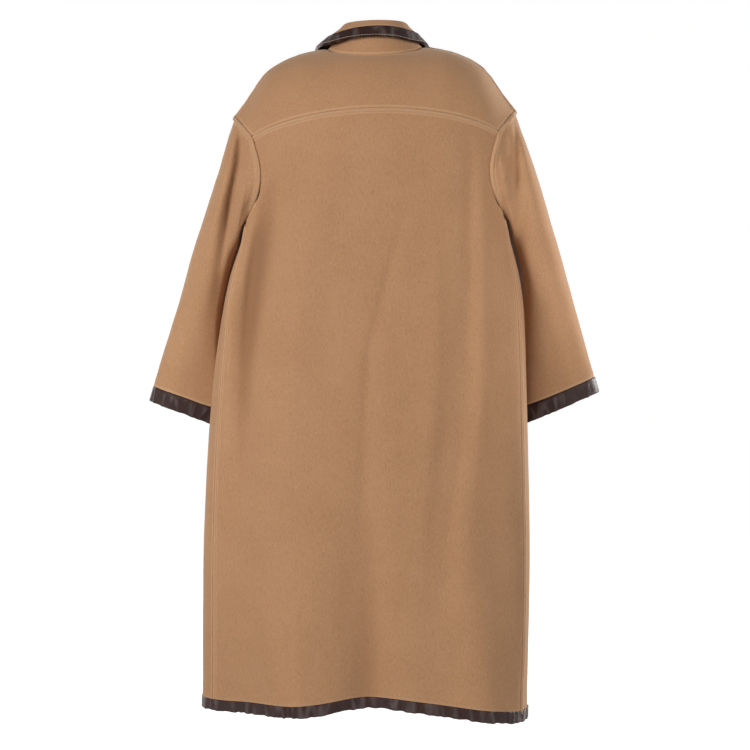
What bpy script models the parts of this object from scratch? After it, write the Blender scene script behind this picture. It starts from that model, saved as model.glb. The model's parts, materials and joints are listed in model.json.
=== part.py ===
"""A long, loose wool coat, filled out with no wearer, built as the pieces that are sewn together.

Metres, +Z up. The front faces -Y and the coat's own left is +X. The origin is the middle of the
neck opening, level with the tops of the shoulders. Every panel is a wall of cloth with its outer
face on a surface that is worked out from the tables below: arcs from side seam to side seam, one
for each height, and caps that carry them over the shoulders to the neck.
"""

import math

import bmesh
import bpy
import numpy as np
from mathutils import Vector

# Cloth and leather
CLOTH = 0.0026
LEATHER = 0.0011
SEAM_GAP = 0.0006
LEATHER_AIR = 0.0010
HEM_BAND = 0.0175
CUFF_BAND = 0.028
COLLAR_BAND = 0.018

# Front closing, the right front over the left
LAP = 0.028
LAP_AIR = 0.0016
LAP_FLAT = 0.020
LAP_EASE = 0.055
BUTTON_RADIUS = 0.0135
BUTTON_THICK = 0.0042
BUTTON_AIR = 0.0007
BUTTON_HEIGHTS = (-0.165, -0.315, -0.465, -0.615)

# Heights and general shape
HEM = -1.180
UNDERARM = -0.306
SIDE_LEAN = 0.022
NECK_SHARE = 0.36
SLEEVE_CLEAR = 0.0045
SLEEVE_SOFT = 0.006
YOKE_PART = 0.34

# Panels whose normals at a seam have at least this product share one, no longer than the mitre.
LEAST_MEETING = 0.1
MOST_MITRE = 1.05
FOLD_BACK = 0.0014

# The body from hem to underarm. Each row is a section: where its side seams lie to the left and
# right, how far back they are, how far the middle of the back and of the front stand from the
# coat's centre plane, and how far round, in degrees, each front's arc runs from the middle to its
# seam. The back's arcs meet the fronts' in line, so their turns follow from these.
BODY_COLUMNS = (
    "height", "left", "right", "left_y", "right_y", "back_y", "front_y", "left_turn",
    "right_turn",
)
BODY = (
    (-1.180, 0.2904, 0.2560, 0.020, 0.080, 0.130, -0.150, 113, 109),
    (-1.070, 0.2899, 0.2620, 0.025, 0.075, 0.130, -0.150, 113, 107),
    (-0.910, 0.2882, 0.2655, 0.035, 0.068, 0.130, -0.148, 113, 107),
    (-0.700, 0.2798, 0.2630, 0.045, 0.060, 0.132, -0.146, 113, 107),
    (-0.600, 0.2720, 0.2610, 0.048, 0.056, 0.132, -0.144, 113, 107),
    (-0.490, 0.2624, 0.2580, 0.050, 0.052, 0.131, -0.142, 111, 107),
    (-0.415, 0.2535, 0.2515, 0.050, 0.050, 0.130, -0.140, 107, 107),
    (-0.355, 0.2380, 0.2390, 0.050, 0.050, 0.129, -0.138, 103, 103),
    (-0.306, 0.2310, 0.2310, 0.050, 0.050, 0.128, -0.137, 95, 95),
)

# The armhole's edges, from the underarm up the back to the yoke's corner, with the middle of the
# back at the same step, and then on over the yoke to the shoulder's end as (share, x, y, z).
EDGE_COLUMNS = ("share", "x", "y", "z", "middle_y", "middle_z", "turn")
BACK_EDGE = (
    (0.00, 0.2310, 0.050, -0.306, 0.128, -0.306, 87),
    (0.25, 0.2150, 0.069, -0.279, 0.129, -0.262, 74),
    (0.42, 0.2065, 0.080, -0.261, 0.129, -0.230, 67),
    (0.60, 0.2010, 0.086, -0.236, 0.128, -0.196, 64),
    (0.76, 0.2012, 0.086, -0.210, 0.127, -0.165, 62),
    (0.90, 0.2085, 0.078, -0.182, 0.125, -0.137, 61),
    (1.00, 0.2165, 0.068, -0.155, 0.122, -0.117, 60),
)
YOKE_EDGE = (
    (0.00, 0.2165, 0.068, -0.1550),
    (0.35, 0.2290, 0.050, -0.1390),
    (0.70, 0.2430, 0.022, -0.1210),
    (1.00, 0.2530, -0.008, -0.1075),
)
# The same up the front, to the chest and then to the shoulder's end.
FRONT_EDGE = (
    (0.00, 0.2310, 0.050, -0.306, -0.137, -0.306, 95),
    (0.20, 0.2303, 0.014, -0.302, -0.137, -0.284, 83),
    (0.40, 0.2190, -0.026, -0.286, -0.136, -0.260, 74),
    (0.60, 0.2085, -0.058, -0.254, -0.134, -0.236, 69),
    (0.80, 0.2030, -0.075, -0.217, -0.131, -0.208, 66),
    (1.00, 0.2070, -0.072, -0.180, -0.126, -0.178, 63),
)
CHEST_EDGE = (
    (0.00, 0.2070, -0.072, -0.1800),
    (0.35, 0.2210, -0.055, -0.1520),
    (0.70, 0.2390, -0.032, -0.1260),
    (1.00, 0.2530, -0.008, -0.1075),
)

# The shoulder's line, from the neck to the shoulder's end, as (share, x, y, z).
SHOULDER = (
    (0.00, 0.0880, -0.018, 0.0110),
    (0.24, 0.1310, -0.018, 0.0030),
    (0.40, 0.1620, -0.018, -0.0080),
    (0.52, 0.1820, -0.018, -0.0185),
    (0.66, 0.2035, -0.017, -0.0360),
    (0.84, 0.2300, -0.013, -0.0770),
    (1.00, 0.2530, -0.008, -0.1075),
)

# Rings round the neck as (degrees from the middle of the back, x, y, z): the neck's seam, the
# collar's fold and the collar's outer edge.
NECK = (
    (-30, -0.046, 0.054, -0.0115),
    (0, 0.000, 0.066, -0.0155),
    (30, 0.046, 0.054, -0.0115),
    (60, 0.077, 0.022, -0.0010),
    (90, 0.088, -0.018, 0.0110),
    (120, 0.078, -0.060, -0.0080),
    (150, 0.047, -0.091, -0.0450),
    (180, 0.000, -0.104, -0.0720),
    (210, -0.047, -0.091, -0.0450),
)
FOLD = (
    (-30, -0.030, 0.043, 0.0500),
    (0, 0.000, 0.049, 0.0500),
    (30, 0.030, 0.043, 0.0500),
    (60, 0.053, 0.022, 0.0500),
    (90, 0.058, -0.012, 0.0465),
    (120, 0.050, -0.042, 0.0300),
    (150, 0.032, -0.066, 0.0060),
    (180, 0.006, -0.076, -0.0180),
)
COLLAR_EDGE = (
    (-30, -0.041, 0.059, 0.0200),
    (0, 0.000, 0.067, 0.0215),
    (30, 0.041, 0.059, 0.0200),
    (60, 0.077, 0.032, 0.0155),
    (90, 0.099, -0.014, 0.0180),
    (120, 0.105, -0.069, -0.0080),
    (150, 0.088, -0.115, -0.0560),
    (180, 0.065, -0.140, -0.1050),
)
COLLAR_SHIFT = 0.005
FOLD_RADIUS = 0.0042
FOLD_TUCK = 0.0030
FOLD_TURN = 1.08 * math.pi
FALL_DROP = 0.001
FALL_BOW = 0.003
# The fall's rows: below 0 over the fold, from 0 to 1 down to the leather's upper line, and its edge
COLLAR_ROWS = (-1, -0.98, -0.76, -0.54, -0.32, -0.10, 0.20, 0.60, 1, 2)
COLLAR_END_ROW = 6
CORNER_SPREAD = 0.04

# The sleeves: the outer and inner point of each section, the depth of its middle and half its
# depth, and how far it turns with its back end outwards, in degrees.
SLEEVE_COLUMNS = (
    "share", "outer_x", "outer_z", "inner_x", "inner_z", "middle_y", "half_depth", "turn",
)
SLEEVE = (
    (0.00, 0.2530, -0.1075, 0.2310, -0.3060, 0.003, 0.082, 0),
    (0.12, 0.2680, -0.1500, 0.2340, -0.3180, 0.000, 0.084, 4),
    (0.25, 0.2890, -0.2180, 0.2360, -0.3420, -0.008, 0.082, 9),
    (0.40, 0.3160, -0.3050, 0.2420, -0.3880, -0.026, 0.078, 13),
    (0.60, 0.3500, -0.4120, 0.2540, -0.4650, -0.052, 0.068, 13),
    (0.80, 0.3860, -0.5220, 0.2640, -0.5680, -0.076, 0.054, 10),
    (1.00, 0.4160, -0.6195, 0.2740, -0.6760, -0.098, 0.040, 6),
)

# The trough and the ridge down the back of each sleeve, as (degrees round it, rise), the slant
# that they follow and where they start and fade, by the sleeve's share
TUCKS = ((45, -0.017), (92, 0.005))
TUCK_WIDTH = 24
TUCK_SLANT = 250
TUCK_STARTS = 0.10
TUCK_FADES = 0.26
TUCK_FADE = 0.20

# Where the hem hangs as (x, height), across the back and across the front.
HEM_BACK = (
    (-0.265, -1.1925), (-0.215, -1.1850), (-0.128, -1.1740), (-0.040, -1.1634), (0.007, -1.1623),
    (0.050, -1.1650), (0.095, -1.1712), (0.150, -1.1752), (0.228, -1.1762), (0.300, -1.1815),
)
HEM_FRONT = (
    (-0.275, -1.1925), (-0.120, -1.1840), (0.000, -1.1800), (0.120, -1.1810), (0.311, -1.1815),
)
HEM_AT_SEAM = {1: -1.1807, -1: -1.1913}

# Folds, each as rows of (height, x, rise, half width) from low to high. A trough's rise is below 0.
BACK_FOLDS = {
    "left armhole trough": (
        (-0.66, 0.235, 0.0, 0.018), (-0.45, 0.226, -0.005, 0.017), (-0.376, 0.208, -0.007, 0.017),
        (-0.27, 0.160, -0.007, 0.018), (-0.165, 0.145, -0.002, 0.018), (-0.12, 0.142, 0.0, 0.018),
    ),
    "left ridge": (
        (-1.18, 0.150, 0.020, 0.048), (-1.05, 0.178, 0.013, 0.042), (-0.88, 0.190, 0.008, 0.036),
        (-0.68, 0.183, 0.007, 0.031), (-0.52, 0.174, 0.006, 0.029), (-0.30, 0.100, 0.004, 0.028),
        (-0.17, 0.095, 0.0, 0.028),
    ),
    "middle crease": (
        (-0.82, 0.030, 0.0, 0.012), (-0.734, 0.026, -0.002, 0.012), (-0.626, 0.023, -0.003, 0.012),
        (-0.537, 0.017, -0.003, 0.012), (-0.465, 0.000, -0.003, 0.012),
        (-0.394, -0.017, -0.0025, 0.012), (-0.295, -0.044, 0.0, 0.012),
    ),
    "middle trough": (
        (-1.18, 0.010, -0.030, 0.056), (-1.00, 0.026, -0.018, 0.050), (-0.84, 0.034, -0.008, 0.040),
        (-0.70, 0.036, -0.003, 0.030), (-0.60, 0.036, 0.0, 0.030),
    ),
    "right ridge": (
        (-1.18, -0.195, 0.022, 0.050), (-1.00, -0.175, 0.012, 0.044), (-0.86, -0.146, 0.006, 0.030),
        (-0.716, -0.165, 0.005, 0.022), (-0.626, -0.180, 0.005, 0.018), (-0.45, -0.184, 0.005, 0.017),
        (-0.30, -0.184, 0.004, 0.017), (-0.165, -0.184, 0.0, 0.015),
    ),
    "right trough": (
        (-0.95, -0.110, 0.0, 0.020), (-0.877, -0.1135, -0.004, 0.018), (-0.788, -0.119, -0.006, 0.018),
        (-0.626, -0.148, -0.006, 0.016), (-0.50, -0.157, -0.005, 0.015), (-0.4475, -0.166, -0.004, 0.015),
        (-0.165, -0.166, 0.0, 0.014),
    ),
}
FRONT_FOLDS = {
    "left front ridge": (
        (-1.18, 0.160, 0.022, 0.045), (-0.90, 0.170, 0.012, 0.040), (-0.60, 0.160, 0.006, 0.032),
        (-0.32, 0.130, 0.0, 0.030),
    ),
    "left front trough": (
        (-1.18, 0.075, -0.014, 0.034), (-0.90, 0.085, -0.008, 0.030), (-0.60, 0.100, 0.0, 0.028),
    ),
    "right front ridge": (
        (-1.18, -0.135, 0.020, 0.042), (-0.85, -0.150, 0.011, 0.038), (-0.50, -0.150, 0.005, 0.030),
        (-0.30, -0.120, 0.0, 0.028),
    ),
    "right front trough": (
        (-1.18, -0.060, -0.010, 0.030), (-0.90, -0.070, -0.006, 0.028), (-0.70, -0.085, 0.0, 0.026),
    ),
}

# How finely the cloth is divided
NECK_STEPS = 6
SHOULDER_STEPS = 11
LAP_STEPS = 2
BODY_HEIGHTS = (
    HEM, HEM + HEM_BAND, -1.12, -1.06, -0.99, -0.92, -0.85, -0.78, -0.71, -0.64, -0.57, -0.50,
    -0.44, -0.39, -0.345, -0.306,
)
BACK_SHARES = (0.14, 0.28, 0.42, 0.56, 0.69, 0.81, 0.91, 1.0)
FRONT_SHARES = (0.14, 0.28, 0.43, 0.58, 0.73, 0.87, 1.0)
CAP_SHARES = (0.18, 0.35, 0.51, 0.66, 0.80, 0.92, 1.0)
SLEEVE_SHARES = (0, 0.025, 0.055, 0.09, 0.13, 0.18, 0.24, 0.31, 0.39, 0.48, 0.58, 0.68, 0.78, 0.87)

# Finishes as (colour, roughness)
WOOL = ((0.435, 0.232, 0.113), 0.92)
TRIM = ((0.045, 0.026, 0.022), 0.42)
HORN = ((0.030, 0.018, 0.014), 0.30)


def smooth(table, at):
    """The table's other columns at each place, on a curve through its rows by the first column."""
    rows = np.asarray(table, float)
    keys, values = rows[:, 0], rows[:, 1:]
    rises = np.diff(values, axis=0) / np.diff(keys)[:, None]
    slopes = np.vstack([rises[:1], (rises[1:] + rises[:-1]) / 2, rises[-1:]])
    at = np.clip(np.asarray(at, float), keys[0], keys[-1])
    low = np.clip(np.searchsorted(keys, at, side="right") - 1, 0, len(keys) - 2)
    span = (keys[low + 1] - keys[low])[..., None]
    t = (at - keys[low])[..., None] / span
    start = (1 + 2 * t) * (1 - t) ** 2 * values[low] + t * (1 - t) ** 2 * span * slopes[low]
    end = t**2 * (3 - 2 * t) * values[low + 1] + t**2 * (t - 1) * span * slopes[low + 1]
    return start + end


def named(columns, table, at):
    """The table's columns at each place, by name."""
    return dict(zip(columns[1:], np.moveaxis(smooth(table, at), -1, 0)))


def ease(amount):
    """0 to 1 along an S, for an amount that runs from 0 to 1."""
    amount = np.clip(amount, 0, 1)
    return amount * amount * (3 - 2 * amount)


def unit(vectors):
    return vectors / np.maximum(np.linalg.norm(vectors, axis=-1, keepdims=True), 1e-12)


def settle(points):
    """The worn coat's slight lean: its left shoulder hangs lower, and its hem hangs level."""
    lean = SIDE_LEAN * ease((points[..., 2] - HEM) / 0.7)
    out = np.array(points)
    out[..., 2] -= lean * points[..., 0]
    return out


def normals_of(grid, closed=False):
    """Each point's normal on a grid of rows, with the columns running so that it points out."""
    if closed:
        along = np.roll(grid, -1, axis=1) - np.roll(grid, 1, axis=1)
    else:
        along = np.gradient(grid, axis=1)
    return unit(np.cross(along, np.gradient(grid, axis=0)))


def fold_rise(folds, x, height):
    rise = np.zeros(np.broadcast(x, height).shape)
    for rows in folds.values():
        at_x, amount, width = np.moveaxis(smooth(rows, height), -1, 0)
        inside = (height >= rows[0][0] - 0.02) & (height <= rows[-1][0])
        rise += np.where(inside, amount * np.exp(-(((x - at_x) / width) ** 2)), 0)
    return rise


def arc(turn, angle, middle, end):
    """A point on an arc from its middle to its end, both as (x, y, z), at an angle of its turn."""
    across = np.sin(angle) / np.sin(turn)
    away = (1 - np.cos(angle)) / (1 - np.cos(turn))
    return np.stack(
        [
            middle[0] + (end[0] - middle[0]) * across,
            middle[1] + (end[1] - middle[1]) * away,
            middle[2] + (end[2] - middle[2]) * away,
        ],
        axis=-1,
    )


def body_section(height, side):
    """The section at a height, as one side sees it: the middle, the seam and the two arcs' turns."""
    at = named(BODY_COLUMNS, BODY, height)
    name = "left" if side > 0 else "right"
    wide = (at["left"] + at["right"]) / 2
    seam_y = at[name + "_y"]
    front_turn = np.radians(at[name + "_turn"])
    # The back's arc leaves the side seam in line with the front's.
    slope = -wide * np.cos(front_turn) / ((seam_y - at["front_y"]) * (1 + np.cos(front_turn)))
    deep = at["back_y"] - seam_y
    return {
        "wide": wide,
        "middle_x": (at["left"] - at["right"]) / 2,
        "seam_x": side * at[name],
        "seam_y": seam_y,
        "back_y": at["back_y"],
        "front_y": at["front_y"],
        "back_turn": np.arccos(slope * deep / (wide - slope * deep)),
        "front_turn": front_turn,
    }


def hang(points, height, hem_line, share, side):
    """Lets the hem hang along its line, less and less towards the underarm."""
    fade = ((UNDERARM - height) / (UNDERARM - HEM)) ** 2
    to_seam = np.clip(share, 0, 1) ** 8
    line = smooth(hem_line, points[..., 0])[..., 0]
    points[..., 2] += ((1 - to_seam) * line + to_seam * HEM_AT_SEAM[side] - HEM) * fade


def back_shares():
    """The columns of the back and the yoke, from 1 at the left seam to -1 at the right one."""
    neck = np.linspace(0, NECK_SHARE, NECK_STEPS + 1)
    half = np.concatenate([neck, np.linspace(NECK_SHARE, 1, SHOULDER_STEPS + 1)[1:]])
    return np.concatenate([half[::-1], -half[1:]])


def back_row(share, height=None, step=None):
    """Points across the back: at a height, or above the underarm at a step up the armhole."""
    halves = []
    for side in (1, -1):
        part = np.abs(share[share * side >= 0])
        if step is None:
            at = body_section(height, side)
            turn = at["back_turn"]
            middle = (at["middle_x"], at["back_y"], height)
            end = (at["seam_x"], at["seam_y"], height)
        else:
            at = named(EDGE_COLUMNS, BACK_EDGE, step)
            turn = math.radians(at["turn"])
            middle, end = (0, at["middle_y"], at["middle_z"]), (side * at["x"], at["y"], at["z"])
        half = arc(turn, part * turn, middle, end)
        if step is None:
            hang(half, height, HEM_BACK, part, side)
        halves.append(half if side > 0 else half[1:])
    points = np.concatenate(halves)
    window = 1 - np.abs(share) ** 8
    points[..., 1] += window * fold_rise(BACK_FOLDS, points[..., 0], points[..., 2])
    return points


def front_row(side, height=None, step=None):
    """Points across one front from its lapped edge to its side seam, and their shares of its turn."""
    if step is None:
        at = body_section(height, side)
        turn, wide = at["front_turn"], at["wide"]
        middle = (at["middle_x"], at["front_y"], height)
        end = (at["seam_x"], at["seam_y"], height)
    else:
        at = named(EDGE_COLUMNS, FRONT_EDGE, step)
        turn, wide = math.radians(at["turn"]), at["x"]
        middle, end = (0, at["middle_y"], at["middle_z"]), (side * at["x"], at["y"], at["z"])
    lap = np.arcsin(LAP * np.sin(turn) / wide) / turn
    neck = np.linspace(0, NECK_SHARE, NECK_STEPS + 1)
    rest = np.linspace(NECK_SHARE, 1, SHOULDER_STEPS + 1)[1:]
    share = np.concatenate([np.linspace(-lap, 0, LAP_STEPS + 1)[:-1], neck, rest])
    points = arc(turn, share * turn, middle, end)
    if step is None:
        hang(points, height, HEM_FRONT, share, side)
    window = 1 - np.clip(share, 0, 1) ** 8
    points[..., 1] -= window * fold_rise(FRONT_FOLDS, points[..., 0], points[..., 2])
    return points, share


def ring(table, degrees):
    """A ring round the neck at angles of both signs, 0 at the middle of the back."""
    points = smooth(table, np.abs(degrees))
    points[..., 0] *= np.where(degrees >= 0, 1, -1)
    return points


def top_edge(share, front):
    """The neck's seam and then the shoulder's line, by a row's share from its middle."""
    part, sign = np.abs(share), np.where(share >= 0, 1, -1)
    round_neck = 90 * np.minimum(part / NECK_SHARE, 1)
    neck = ring(NECK, sign * (180 - round_neck if front else round_neck))
    shoulder = smooth(SHOULDER, (part - NECK_SHARE) / (1 - NECK_SHARE))
    shoulder[..., 0] *= sign
    return np.where((part <= NECK_SHARE + 1e-9)[..., None], neck, shoulder)


def round_over(low, high, step):
    """A point on a quarter turn that leaves low upright and comes to high level."""
    level, rise = math.cos(step * math.pi / 2), math.sin(step * math.pi / 2)
    x = low[..., 0] + (high[..., 0] - low[..., 0]) * (1 - level)
    y = high[..., 1] + (low[..., 1] - high[..., 1]) * level
    z = low[..., 2] + (high[..., 2] - low[..., 2]) * rise
    return np.stack([x, y, z], axis=-1)


def cap_row(low, share, step, front, edge_table):
    """A row of the cap that carries a panel over the shoulder, from the row low to the top edge."""
    high = top_edge(share, front)
    straight = 0.45 * (1 - ease(np.abs(share) / (NECK_SHARE * 1.6)))[:, None]
    points = (1 - straight) * round_over(low, high, step) + straight * (low + (high - low) * step)
    corner = round_over(smooth(edge_table, 0.0), smooth(edge_table, 1.0), step)
    to_edge = (smooth(edge_table, step) - corner) * np.clip(np.abs(share), 0, 1)[:, None] ** 5
    to_edge[:, 0] *= np.where(share >= 0, 1, -1)
    return points + to_edge


def back_grid():
    share = back_shares()
    rows = [back_row(share, height=height) for height in BODY_HEIGHTS]
    return np.array(rows + [back_row(share, step=step) for step in BACK_SHARES])


def yoke_grid():
    share = back_shares()
    low = back_row(share, step=1.0)
    return np.array([cap_row(low, share, step, False, YOKE_EDGE) for step in (0, *CAP_SHARES)])


def front_grid(side):
    """One front from the hem to the shoulder's line, its columns from the coat's left to right."""
    rows = [front_row(side, height=height)[0] for height in BODY_HEIGHTS]
    rows += [front_row(side, step=step)[0] for step in FRONT_SHARES]
    low, share = front_row(side, step=1.0)
    rows += [cap_row(low, side * share, step, True, CHEST_EDGE) for step in CAP_SHARES]
    grid = np.array(rows)
    return grid if side > 0 else grid[:, ::-1]


def lap_under(grid, normals):
    """Sets the left front in under the right one where they lap, and further at the leather."""
    near_hem = ease((HEM + 0.10 - grid[..., 2]) / 0.05)
    depth = CLOTH + LAP_AIR + near_hem * 2 * (LEATHER + LEATHER_AIR)
    from_middle = grid[..., 0] - grid[:, LAP_STEPS, 0][:, None]
    spread = 1 - ease((from_middle - LAP - LAP_FLAT) / LAP_EASE)
    return grid - normals * (depth * spread)[..., None]


def armhole_points():
    """The armhole's edge by its angle round the sleeve: 0 at its top, and first down the back."""
    lower = 1 - YOKE_PART
    around, points = [0.0], [smooth(YOKE_EDGE, 1.0)]
    for cap, edge, shares, first in (
        (YOKE_EDGE, BACK_EDGE, BACK_SHARES, 0), (CHEST_EDGE, FRONT_EDGE, FRONT_SHARES, 2 * math.pi),
    ):
        down = math.pi if first == 0 else -math.pi
        steps = [(1 - lower - YOKE_PART * s, smooth(cap, s)) for s in CAP_SHARES[-2::-1]]
        steps += [(1 - lower * s, smooth(edge, s)[:3]) for s in (*shares[::-1], 0.0)]
        if first:
            steps = steps[:-1]
        around += [first + down * amount for amount, _ in steps]
        points += [point for _, point in steps]
    order = np.argsort(around)
    return np.array(around)[order], np.array(points)[order]


def body_reach(y, z, side):
    """How far out the body reaches at a depth and height below the underarm, 0 where it doesn't."""
    at = body_section(z, side)
    forward = y < at["seam_y"]
    turn = np.where(forward, at["front_turn"], at["back_turn"])
    middle_y = np.where(forward, at["front_y"], at["back_y"])
    away = (y - middle_y) / (at["seam_y"] - middle_y)
    cosine = 1 - away * (1 - np.cos(turn))
    across = np.sqrt(np.clip(1 - cosine**2, 0, 1)) / np.sin(turn)
    reach = side * (at["middle_x"] + (at["seam_x"] - at["middle_x"]) * across)
    return np.where(away > 0, reach, 0)


def beside_body(points, side):
    """Keeps a sleeve just clear of the body, against which it hangs."""
    below = UNDERARM + SLEEVE_SOFT - points[:, 2]
    clear = SLEEVE_CLEAR * ease(below / 0.025) + 2 * SEAM_GAP
    least = body_reach(points[:, 1], np.minimum(points[:, 2], UNDERARM), side) + clear
    x = points[:, 0]
    soft = (x + least + np.sqrt((x - least) ** 2 + SLEEVE_SOFT**2 * ease(below / 0.03))) / 2
    return np.column_stack([np.where(below > 0, soft, x), points[:, 1:]])


def sleeve_tuck(share, angle):
    """The trough and the ridge that run down the back of a sleeve from the armhole."""
    along = np.degrees(angle) - TUCK_SLANT * share
    fade = ease(share / TUCK_STARTS) * (1 - ease((share - TUCK_FADES) / TUCK_FADE))
    rises = (rise * np.exp(-(((along - at) / TUCK_WIDTH) ** 2)) for at, rise in TUCKS)
    return fade * sum(rises)


def sleeve_axes(share):
    """The middle of a sleeve's section, and its half axes outwards and backwards."""
    at = named(SLEEVE_COLUMNS, SLEEVE, share)
    outer, inner = (np.array([at[end + "_x"], 0, at[end + "_z"]]) for end in ("outer", "inner"))
    middle = (outer + inner) / 2 + np.array([0, at["middle_y"], 0])
    half = (outer - inner) / 2
    out, back = unit(half), np.array([0, 1.0, 0])
    turn = math.radians(at["turn"])
    wide = np.linalg.norm(half) * (out * math.cos(turn) - back * math.sin(turn))
    deep = at["half_depth"] * (back * math.cos(turn) + out * math.sin(turn))
    return middle, wide, deep


def sleeve_ring(side, share, around, hole):
    """One ring of a sleeve, which starts at the armhole and turns into an even ellipse."""
    middle, wide, deep = sleeve_axes(0)
    at_hole = np.arctan2((hole - middle) @ deep / (deep @ deep), (hole - middle) @ wide / (wide @ wide))
    at_hole += 2 * math.pi * np.round((around - at_hole) / (2 * math.pi))
    angle = at_hole + (around - at_hole) * ease(share / 0.6)
    middle, wide, deep = sleeve_axes(share)
    ellipse = middle + np.cos(angle)[:, None] * wide + np.sin(angle)[:, None] * deep
    tuck = sleeve_tuck(share, angle)[:, None] * unit(ellipse - middle)
    blend = 1 - (1 - min(share / 0.28, 1)) ** 2
    points = (1 - blend) * hole + blend * ellipse + tuck
    if share == 0:
        return points
    points[:, 0] = np.maximum(points[:, 0], hole[:, 0] + FOLD_BACK)
    return beside_body(points, side)


def sleeve_grid(side):
    around, hole = armhole_points()
    cuff = [sleeve_ring(side, share, around, hole)[0] for share in (0.99, 1.0)]
    band = 0.01 * CUFF_BAND / np.linalg.norm(cuff[1] - cuff[0])
    rows = [sleeve_ring(side, share, around, hole) for share in (*SLEEVE_SHARES, 1 - band, 1.0)]
    grid = np.array(rows) * np.array([side, 1, 1])
    return grid if side < 0 else grid[:, ::-1]


def collar_angles():
    """The columns of the neck's seam, from the coat's right round the back to its left."""
    step = 90 / NECK_STEPS
    count = 2 * NECK_STEPS - 1
    return np.arange(-count, count + 1) * step


def stand_grid():
    degrees = collar_angles()[::-1]
    low = ring(NECK, degrees)
    high = ring(FOLD, degrees) - away_from_neck(degrees) * (FOLD_RADIUS - CLOTH)
    high[:, 2] -= FOLD_RADIUS + FOLD_TUCK + 2 * SEAM_GAP
    return np.array([low + (high - low) * t for t in (0, 0.33, 0.67, 1.0)])


def away_from_neck(degrees):
    out = ring(FOLD, degrees) - np.array([0, -0.014, 0])
    out[:, 2] = 0
    return unit(out)


def fall_row(degrees, step):
    """A row of the collar's fall, which rolls over the fold and then runs to the edge."""
    out, up = away_from_neck(degrees), np.array([0, 0, 1.0])
    centre = ring(FOLD, degrees) - up * FOLD_RADIUS
    if step <= -1:
        return centre - out * FOLD_RADIUS - up * FOLD_TUCK
    if step < 0:
        turn = FOLD_TURN * (1 + step)
        return centre + FOLD_RADIUS * (up * math.sin(turn) - out * math.cos(turn))
    edge = ring(COLLAR_EDGE, degrees) + np.array([COLLAR_SHIFT, 0, 0])
    start = centre + out * FOLD_RADIUS - up * FALL_DROP
    band = COLLAR_BAND / np.linalg.norm(edge - start, axis=1, keepdims=True)
    share = step * (1 - band) if step <= 1 else np.ones_like(band)
    return start + (edge - start) * share + out * FALL_BOW * np.sin(math.pi * share)


def fall_grid():
    """The collar's fall, with a band as wide as the leather along its edge and its two ends."""
    angles = collar_angles()
    edge = ring(COLLAR_EDGE, angles[-2:])
    band = COLLAR_BAND / np.linalg.norm(edge[1] - edge[0]) * (angles[-1] - angles[-2])
    angles = np.concatenate([[angles[0], angles[0] + band], angles[2:-2], [angles[-1] - band, angles[-1]]])
    return np.array([fall_row(angles, step) for step in COLLAR_ROWS])


def collar_path(grid, inner):
    """Round the fall's left end, long edge and right end, or the line a band in from them."""
    if not inner:
        left, right = grid[COLLAR_END_ROW:, -1], grid[COLLAR_END_ROW:, 0]
        return np.concatenate([left, grid[-1, 1:-1][::-1], right[::-1]])
    left, right = grid[COLLAR_END_ROW:-1, -2], grid[COLLAR_END_ROW:-1, 1]
    low = grid[-2, 1:-1][::-1]
    corners = []
    for end, side in ((left, low[:2]), (right, low[:-3:-1])):
        before = end[-1] + (end[-2] - end[-1]) * CORNER_SPREAD
        after = side[0] + (side[1] - side[0]) * CORNER_SPREAD
        corners.append((before, end[-1], after))
    return np.concatenate([left[:-1], corners[0], low[1:-1], corners[1][::-1], right[:-1][::-1]])


def meet_at_seams(grids, normals):
    """Gives edges that meet face on one mitred normal, so that they butt.

    A piece that folds back over its neighbour's face instead starts a little off that face.
    """
    meeting = {}
    for name, grid in grids.items():
        rows, columns = grid.shape[:2]
        for i in range(rows):
            for j in range(columns):
                if i in (0, rows - 1) or j in (0, columns - 1):
                    key = tuple(np.round(grid[i, j] * 1e5).astype(int))
                    meeting.setdefault(key, []).append((name, i, j))
    for places in meeting.values():
        groups = []
        for name, i, j in places:
            own = normals[name][i, j].copy()
            for group in groups:
                if all(own @ other > LEAST_MEETING for _, other in group):
                    group.append(((name, i, j), own))
                    break
            else:
                groups.append([((name, i, j), own)])
        off_face = 0
        for group in groups:
            found = np.array([own for _, own in group])
            shared = unit(found.sum(axis=0))
            for (name, i, j), _ in group:
                normals[name][i, j] = shared * min(1 / (found @ shared).min(), MOST_MITRE)
                grids[name][i, j] += off_face
            off_face = FOLD_BACK * shared


def trim(grid, axis, end, amount):
    """Draws one edge of a grid back towards its neighbours, to leave a gap at a seam."""
    rows = np.moveaxis(grid, axis, 0)
    edge, inner = (0, 1) if end == 0 else (-1, -2)
    rows[edge] += amount * unit(rows[inner] - rows[edge])


def put_away_startup_objects():
    for obj in list(bpy.data.objects):
        bpy.data.objects.remove(obj, do_unlink=True)


def finish(name, colour, roughness):
    material = bpy.data.materials.new(name)
    material.use_nodes = True
    shader = material.node_tree.nodes["Principled BSDF"]
    shader.inputs["Base Color"].default_value = (*colour, 1)
    shader.inputs["Roughness"].default_value = roughness
    shader.inputs["Metallic"].default_value = 0
    return material


def add_object(coat, name, build, look):
    mesh = bpy.data.meshes.new(name)
    build.to_mesh(mesh)
    build.free()
    mesh.shade_smooth()
    mesh.set_sharp_from_angle(angle=math.radians(40))
    mesh.materials.append(finish(name, *look))
    obj = bpy.data.objects.new(name, mesh)
    coat.objects.link(obj)
    return obj


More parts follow.
